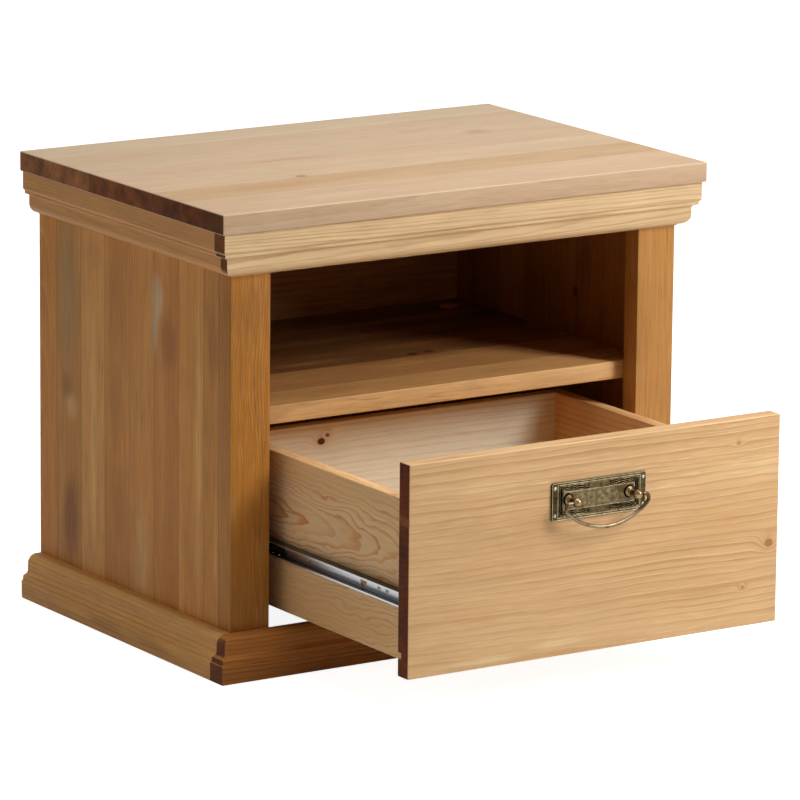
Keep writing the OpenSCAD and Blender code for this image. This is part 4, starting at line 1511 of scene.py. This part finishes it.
@dataclass
class Handle(Piece):
    """The bail handle: a cast plate with a wavy band, two turned posts, four pins and the hanging bow.

    Attributes:
        relief: Height of the plate's raised lines.
        frame_half: Half the size of the frame round the wavy band, in mm.
        panel_half: Half the size of the smooth middle, in mm.
        tablet: Half the width of the plain tablets in the band, in mm.
        seat: The flat under a post: its place across and up from the plate's middle and its radius, in mm.
        bow: Radius of the bail's bow.
        bend: Radius of its end bends.
        sweep: Half of the bow's angle, in degrees.
    """

    relief: float = 0.42 * MM
    frame_half: tuple[float, float] = (42.6, 14.7)
    panel_half: tuple[float, float] = (36.0, 7.7)
    tablet: float = 11.5
    seat: tuple[float, float, float] = (31.0, 0.8, 5.6)
    bow: float = 60.0 * MM
    bend: float = 4.5 * MM
    sweep: float = 43.0

    def height(self, x: Array, z: Array, a: float, b: float) -> Array:
        """The plate's relief, from 0 in the ground to 1 on the raised lines.

        Lines follow the distance from a rectangle's edge. The band between two lines is filled with waves
        that run along the same rectangles, shifted by slow sines, and two plain tablets interrupt it.

        Args:
            x: Distance from the plate's middle, in mm.
            z: Height over the plate's middle, in mm.
            a: Half the plate's width, in mm.
            b: Half its height, in mm.

        Returns:
            The height at each point.
        """

        def within(half: tuple[float, float]) -> Array:
            """Distance inside a rectangle's edge."""
            return np.minimum(half[0] - np.abs(x), half[1] - np.abs(z))

        def line(d: Array, at: float, width: float) -> Array:
            """A rounded raised line where d is near at."""
            return np.clip(1 - ((d - at) / width) ** 2, 0, 1)

        rim, ring, panel = within((a, b)), within(self.frame_half), within(self.panel_half)
        wave = ring + 0.55 * np.sin(x * 0.42) + 0.30 * np.sin(x * 0.93 + 1.0)
        wave += 0.2 * np.sin(z * 0.9 + x * 0.2)
        band = (ring > 1.9) & (panel < -0.7)
        tablet = (np.abs(x) < self.tablet) & band
        h = np.where(band, 0.80 * (0.5 + 0.5 * np.sin(wave * 2 * math.pi / 1.6)) ** 4.0, 0.44)
        h = np.where(tablet, 0.48, h)
        h = np.where(tablet & (self.tablet - np.abs(x) < 0.5), 0.15, h)
        h = np.maximum(h, np.maximum(0.95 * line(ring, 0.5, 0.55), 0.75 * line(ring, 1.6, 0.4)))
        h = np.where(panel > 0.5, 0.66, h)
        h = np.maximum(h, 0.95 * line(panel, 0.0, 0.55))
        h = np.maximum(h, np.clip(1.35 - rim / 0.9, 0, 1))
        across, up, reach = self.seat
        return np.where(np.hypot(np.abs(x) - across, z - up) < reach, 0.2, h)

    def plate(self) -> None:
        """The plate: the relief on a fine grid in front, and plain sides and back.

        Grid points past a corner's middle are pulled in to the corner's radius.
        """
        lo, hi = corners("handle_plate")
        mid = (lo + hi) / 2
        a, b = (hi[0] - lo[0]) / 2, (hi[2] - lo[2]) / 2
        cols, rows, corner = 300, 104, 1.5 * MM
        gx, gz = np.meshgrid(np.linspace(-a, a, cols), np.linspace(-b, b, rows))
        h = self.height(gx / MM, gz / MM, a / MM, b / MM)
        ox, oz = np.maximum(np.abs(gx) - (a - corner), 0), np.maximum(np.abs(gz) - (b - corner), 0)
        pull = np.minimum(1.0, corner / np.maximum(np.hypot(ox, oz), 1e-9))
        px = np.sign(gx) * (np.minimum(np.abs(gx), a - corner) + ox * pull)
        pz = np.sign(gz) * (np.minimum(np.abs(gz), b - corner) + oz * pull)
        y = lo[1] + (1 - h) * self.relief
        front = np.stack([mid[0] + px, y, mid[2] + pz], -1).reshape(-1, 3)
        rim = np.concatenate([
            np.arange(cols), np.arange(1, rows) * cols + cols - 1,
            (rows - 1) * cols + np.arange(cols - 2, -1, -1), np.arange(rows - 2, 0, -1) * cols,
        ])
        back = front[rim] * [1, 0, 1] + [0, hi[1], 0]
        loop = len(front) + np.arange(len(rim))
        walls = np.stack([rim, loop, np.roll(loop, -1), np.roll(rim, -1)], -1)
        faces = grid_faces(rows, cols).tolist() + walls.tolist() + [loop.tolist()]
        obj = mesh_object("handle_plate_cast", np.concatenate([front, back]), faces, 50.0, mend=True)
        # Cast brass, aged nearly black in the hollows and rubbed bright on the raised lines.
        finish = AgedPlate("#b8ad8c", "#66573b", "#17110b", float(lo[1]), self.relief)
        self.add(obj, "drawer", "aged_brass", finish.build("aged_cast_brass"), "handle_plate")

    def posts(self) -> None:
        """The turned posts and the round heads of the corner pins."""

        def post(h: float, _: float) -> Array:
            """A foot, a ring, a neck and a ball."""
            return MM * np.concatenate([
                [[0.0, 0.0], [0.0, 4.3]], arc(0.9, 4.0, 0.9, 0.6, 180, 20, 6), [[2.0, 4.0], [2.3, 3.3]],
                arc(3.3, 3.1, 0.8, 0.5, 170, 20, 4), [[4.6, 2.9], [6.0, 2.7], [8.0, 2.7]],
                arc(h / MM - 3.5, 0.0, 4.2, 4.2, 135, 0, 16),
            ])

        def pin(h: float, _: float) -> Array:
            """A thin shaft under a domed head."""
            dome = 0.9 * MM
            shaft = [[0.0, 0.0], [0.0, 0.7 * MM], [h - dome, 0.8 * MM]]
            return np.concatenate([shaft, arc(h - dome, 0.0, dome, 1.5 * MM, 90, 0, 8)])

        for name, node, turns, make, material in (
            ("handle_posts_turned", "handle_posts", 40, post, self.finishes.post),
            ("handle_pins_round", "handle_pins", 24, pin, self.finishes.pin),
        ):
            parts = self.turned(name, node, Axis.Y, -1.0, turns, make)
            self.add(parts, "drawer", "aged_brass", material, node)

    def bail(self) -> None:
        """The bow: thin pin, end bend, one shallow arc, end bend and thin pin, along one path."""
        lo, hi = corners("bail")
        y, wire = (lo[1] + hi[1]) / 2, (hi[1] - lo[1]) / 2
        s = math.radians(self.sweep)
        bend_x = (self.bow - self.bend) * math.sin(s)
        top = lo[2] + wire + self.bow
        axis_z = top - (self.bow - self.bend) * math.cos(s) + self.bend
        post_x = max((p.min(0)[0] + p.max(0)[0]) / 2 for p in self.solids("handle_posts"))
        # The pin is thin from inside the post to just outside it, where the full wire starts.
        pin_wire, inner, outer, full = 1.0 * MM, -2.0 * MM, 5.1 * MM, 5.3 * MM
        pin = np.array([[x, axis_z] for x in (post_x + inner, post_x + outer, post_x + full, bend_x)])
        bend = arc(bend_x, axis_z - self.bend, self.bend, self.bend, 90, self.sweep - 90, 14)
        bow = arc(0.0, top, self.bow, self.bow, self.sweep - 90, -90 - self.sweep, 48)
        right = np.concatenate([pin, bend[1:]])
        flat = np.concatenate([right, bow[1:], (right * [-1, 1])[-2::-1]])
        thin = np.full(len(flat), wire)
        thin[:2] = thin[-2:] = pin_wire
        path = np.stack([flat[:, 0], np.full(len(flat), y), flat[:, 1]], -1)
        self.add(tube("bail_bow", path, thin), "bail", "bail_brass", self.finishes.bail, "bail")

    def build(self) -> None:
        """Builds the plate, the posts with their pins, and the bail."""
        self.plate()
        self.posts()
        self.bail()


@dataclass(frozen=True)
class Lamp:
    """A rectangular soft lamp.

    Attributes:
        name: Its name.
        at: Its place in metres.
        aim: The point that it looks at.
        size: Its width and height.
        watts: Its power.
    """

    name: str
    at: tuple[float, float, float]
    aim: tuple[float, float, float]
    size: tuple[float, float]
    watts: float

    def build(self) -> None:
        """Adds the lamp to the scene."""
        data = bpy.data.lights.new(self.name, "AREA")
        data.shape, data.size, data.size_y, data.energy = "RECTANGLE", *self.size, self.watts
        lamp = bpy.data.objects.new(self.name, data)
        lamp.location = self.at
        lamp.rotation_euler = (Vector(self.aim) - Vector(self.at)).to_track_quat("-Z", "Y").to_euler()
        bpy.context.scene.collection.objects.link(lamp)


@dataclass
class Studio:
    """A pale floor, soft light and the camera.

    Attributes:
        spot: Where the camera stands, in metres.
        yaw: Turn from +Y towards +X, in degrees.
        pitch: How far it looks down, in degrees.
        roll: Its tilt, in degrees.
        lens: Focal length on a 36 mm sensor.
        lamps: The lamps.
    """

    spot: tuple[float, float, float] = (-2.79976, -4.56237, 1.35912)
    yaw: float = 32.929
    pitch: float = 12.6707
    roll: float = -0.5586
    lens: float = 268.407
    lamps: tuple[Lamp, ...] = (
        Lamp("key", (1.10, -1.90, 1.40), (0.0, -0.35, 0.22), (0.5, 1.2), 38.5),
        Lamp("over", (0.2, -0.3, 2.6), (0.0, -0.25, 0.3), (1.8, 1.8), 48.0),
        Lamp("fill", (-3.0, 0.0, 1.5), (0.0, -0.2, 0.2), (1.8, 1.8), 11.5),
    )

    def camera(self) -> None:
        """Sets up the camera."""
        data = bpy.data.cameras.new("camera")
        data.lens, data.sensor_width, data.clip_end = self.lens, 36.0, 60.0
        yaw, pitch, roll = (math.radians(v) for v in (self.yaw, self.pitch, self.roll))
        level = math.cos(pitch)
        ahead = Vector((math.sin(yaw) * level, math.cos(yaw) * level, -math.sin(pitch)))
        right = Vector((math.cos(yaw), -math.sin(yaw), 0.0))
        down = ahead.cross(right)
        x = right * math.cos(roll) + down * math.sin(roll)
        up = right * math.sin(roll) - down * math.cos(roll)
        turn = Matrix((x, up, -ahead)).transposed().to_4x4()
        cam = bpy.data.objects.new("camera", data)
        cam.matrix_world = Matrix.Translation(Vector(self.spot)) @ turn
        bpy.context.scene.collection.objects.link(cam)
        bpy.context.scene.camera = cam

    def floor(self) -> None:
        """A wide pale floor. It shows white to the eye, whiter further out, and keeps the object's shadow.

        Other rays meet plain paper, and reflections see a share of the white.
        """
        far, drop, mirrored = 20.0, -0.3 * MM, 0.35
        verts = np.array([[-far, -far, drop], [far, -far, drop], [far, far, drop], [-far, far, drop]])
        obj = mesh_object("floor", verts, [[0, 1, 2, 3]])
        g = Graph(bpy.data.materials.new("white_paper_floor"))
        g.nodes.remove(g.nodes["Principled BSDF"])
        place = g.node("TexCoord", (), "Object")
        distance = g.node("VectorMath", (place,), "Value", operation="LENGTH")
        glow = g.node("Emission", ("#ffffff", g.node("MapRange", (distance, 0.7, 2.2, 0.90, 1.0))))
        seen = g.node("AddShader", (g.node("BsdfDiffuse", ("#e0e0e0",)), glow))
        glossy, camera = (g.node("LightPath", (), ray) for ray in ("Is Glossy Ray", "Is Camera Ray"))
        paper = g.node("BsdfDiffuse", ("#ece9e5",))
        shown = g.node("MixShader", (glossy * mirrored + camera, paper, seen))
        g.feed(g.nodes["Material Output"].inputs["Surface"], shown)
        obj.data.materials.append(g.owner)

    def world(self, level: float = 0.03, mirror: float = 0.40) -> None:
        """An even sky that shows white to the eye, with one level for soft light and one for reflections.

        Args:
            level: Strength for soft light.
            mirror: Strength for reflections.
        """
        bpy.context.scene.world = bpy.data.worlds.new("studio")
        g = Graph(bpy.context.scene.world)
        strength: Val | float = level
        for ray, seen in (("Is Glossy Ray", mirror), ("Is Transmission Ray", 1.0), ("Is Camera Ray", 1.0)):
            strength = g.node("Mix", (g.node("LightPath", (), ray), None, strength, seen))
        sky = g.nodes["Background"].inputs
        g.feed(sky["Color"], "#ffffff")
        g.feed(sky["Strength"], strength)

    def build(self) -> None:
        """Sets the view, the light, the floor and the camera."""
        bpy.context.scene.view_settings.view_transform = "Standard"
        self.world()
        for lamp in self.lamps:
            lamp.build()
        self.floor()
        self.camera()


def main() -> None:
    """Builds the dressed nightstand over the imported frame."""
    logging.basicConfig(level=logging.INFO, format="%(name)s: %(message)s")
    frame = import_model()
    finishes = Finishes()
    for assembly in (Cabinet, Drawer, Slides, Handle):
        assembly(frame, finishes).build()
    Studio().build()


if __name__ == "__main__":
    main()
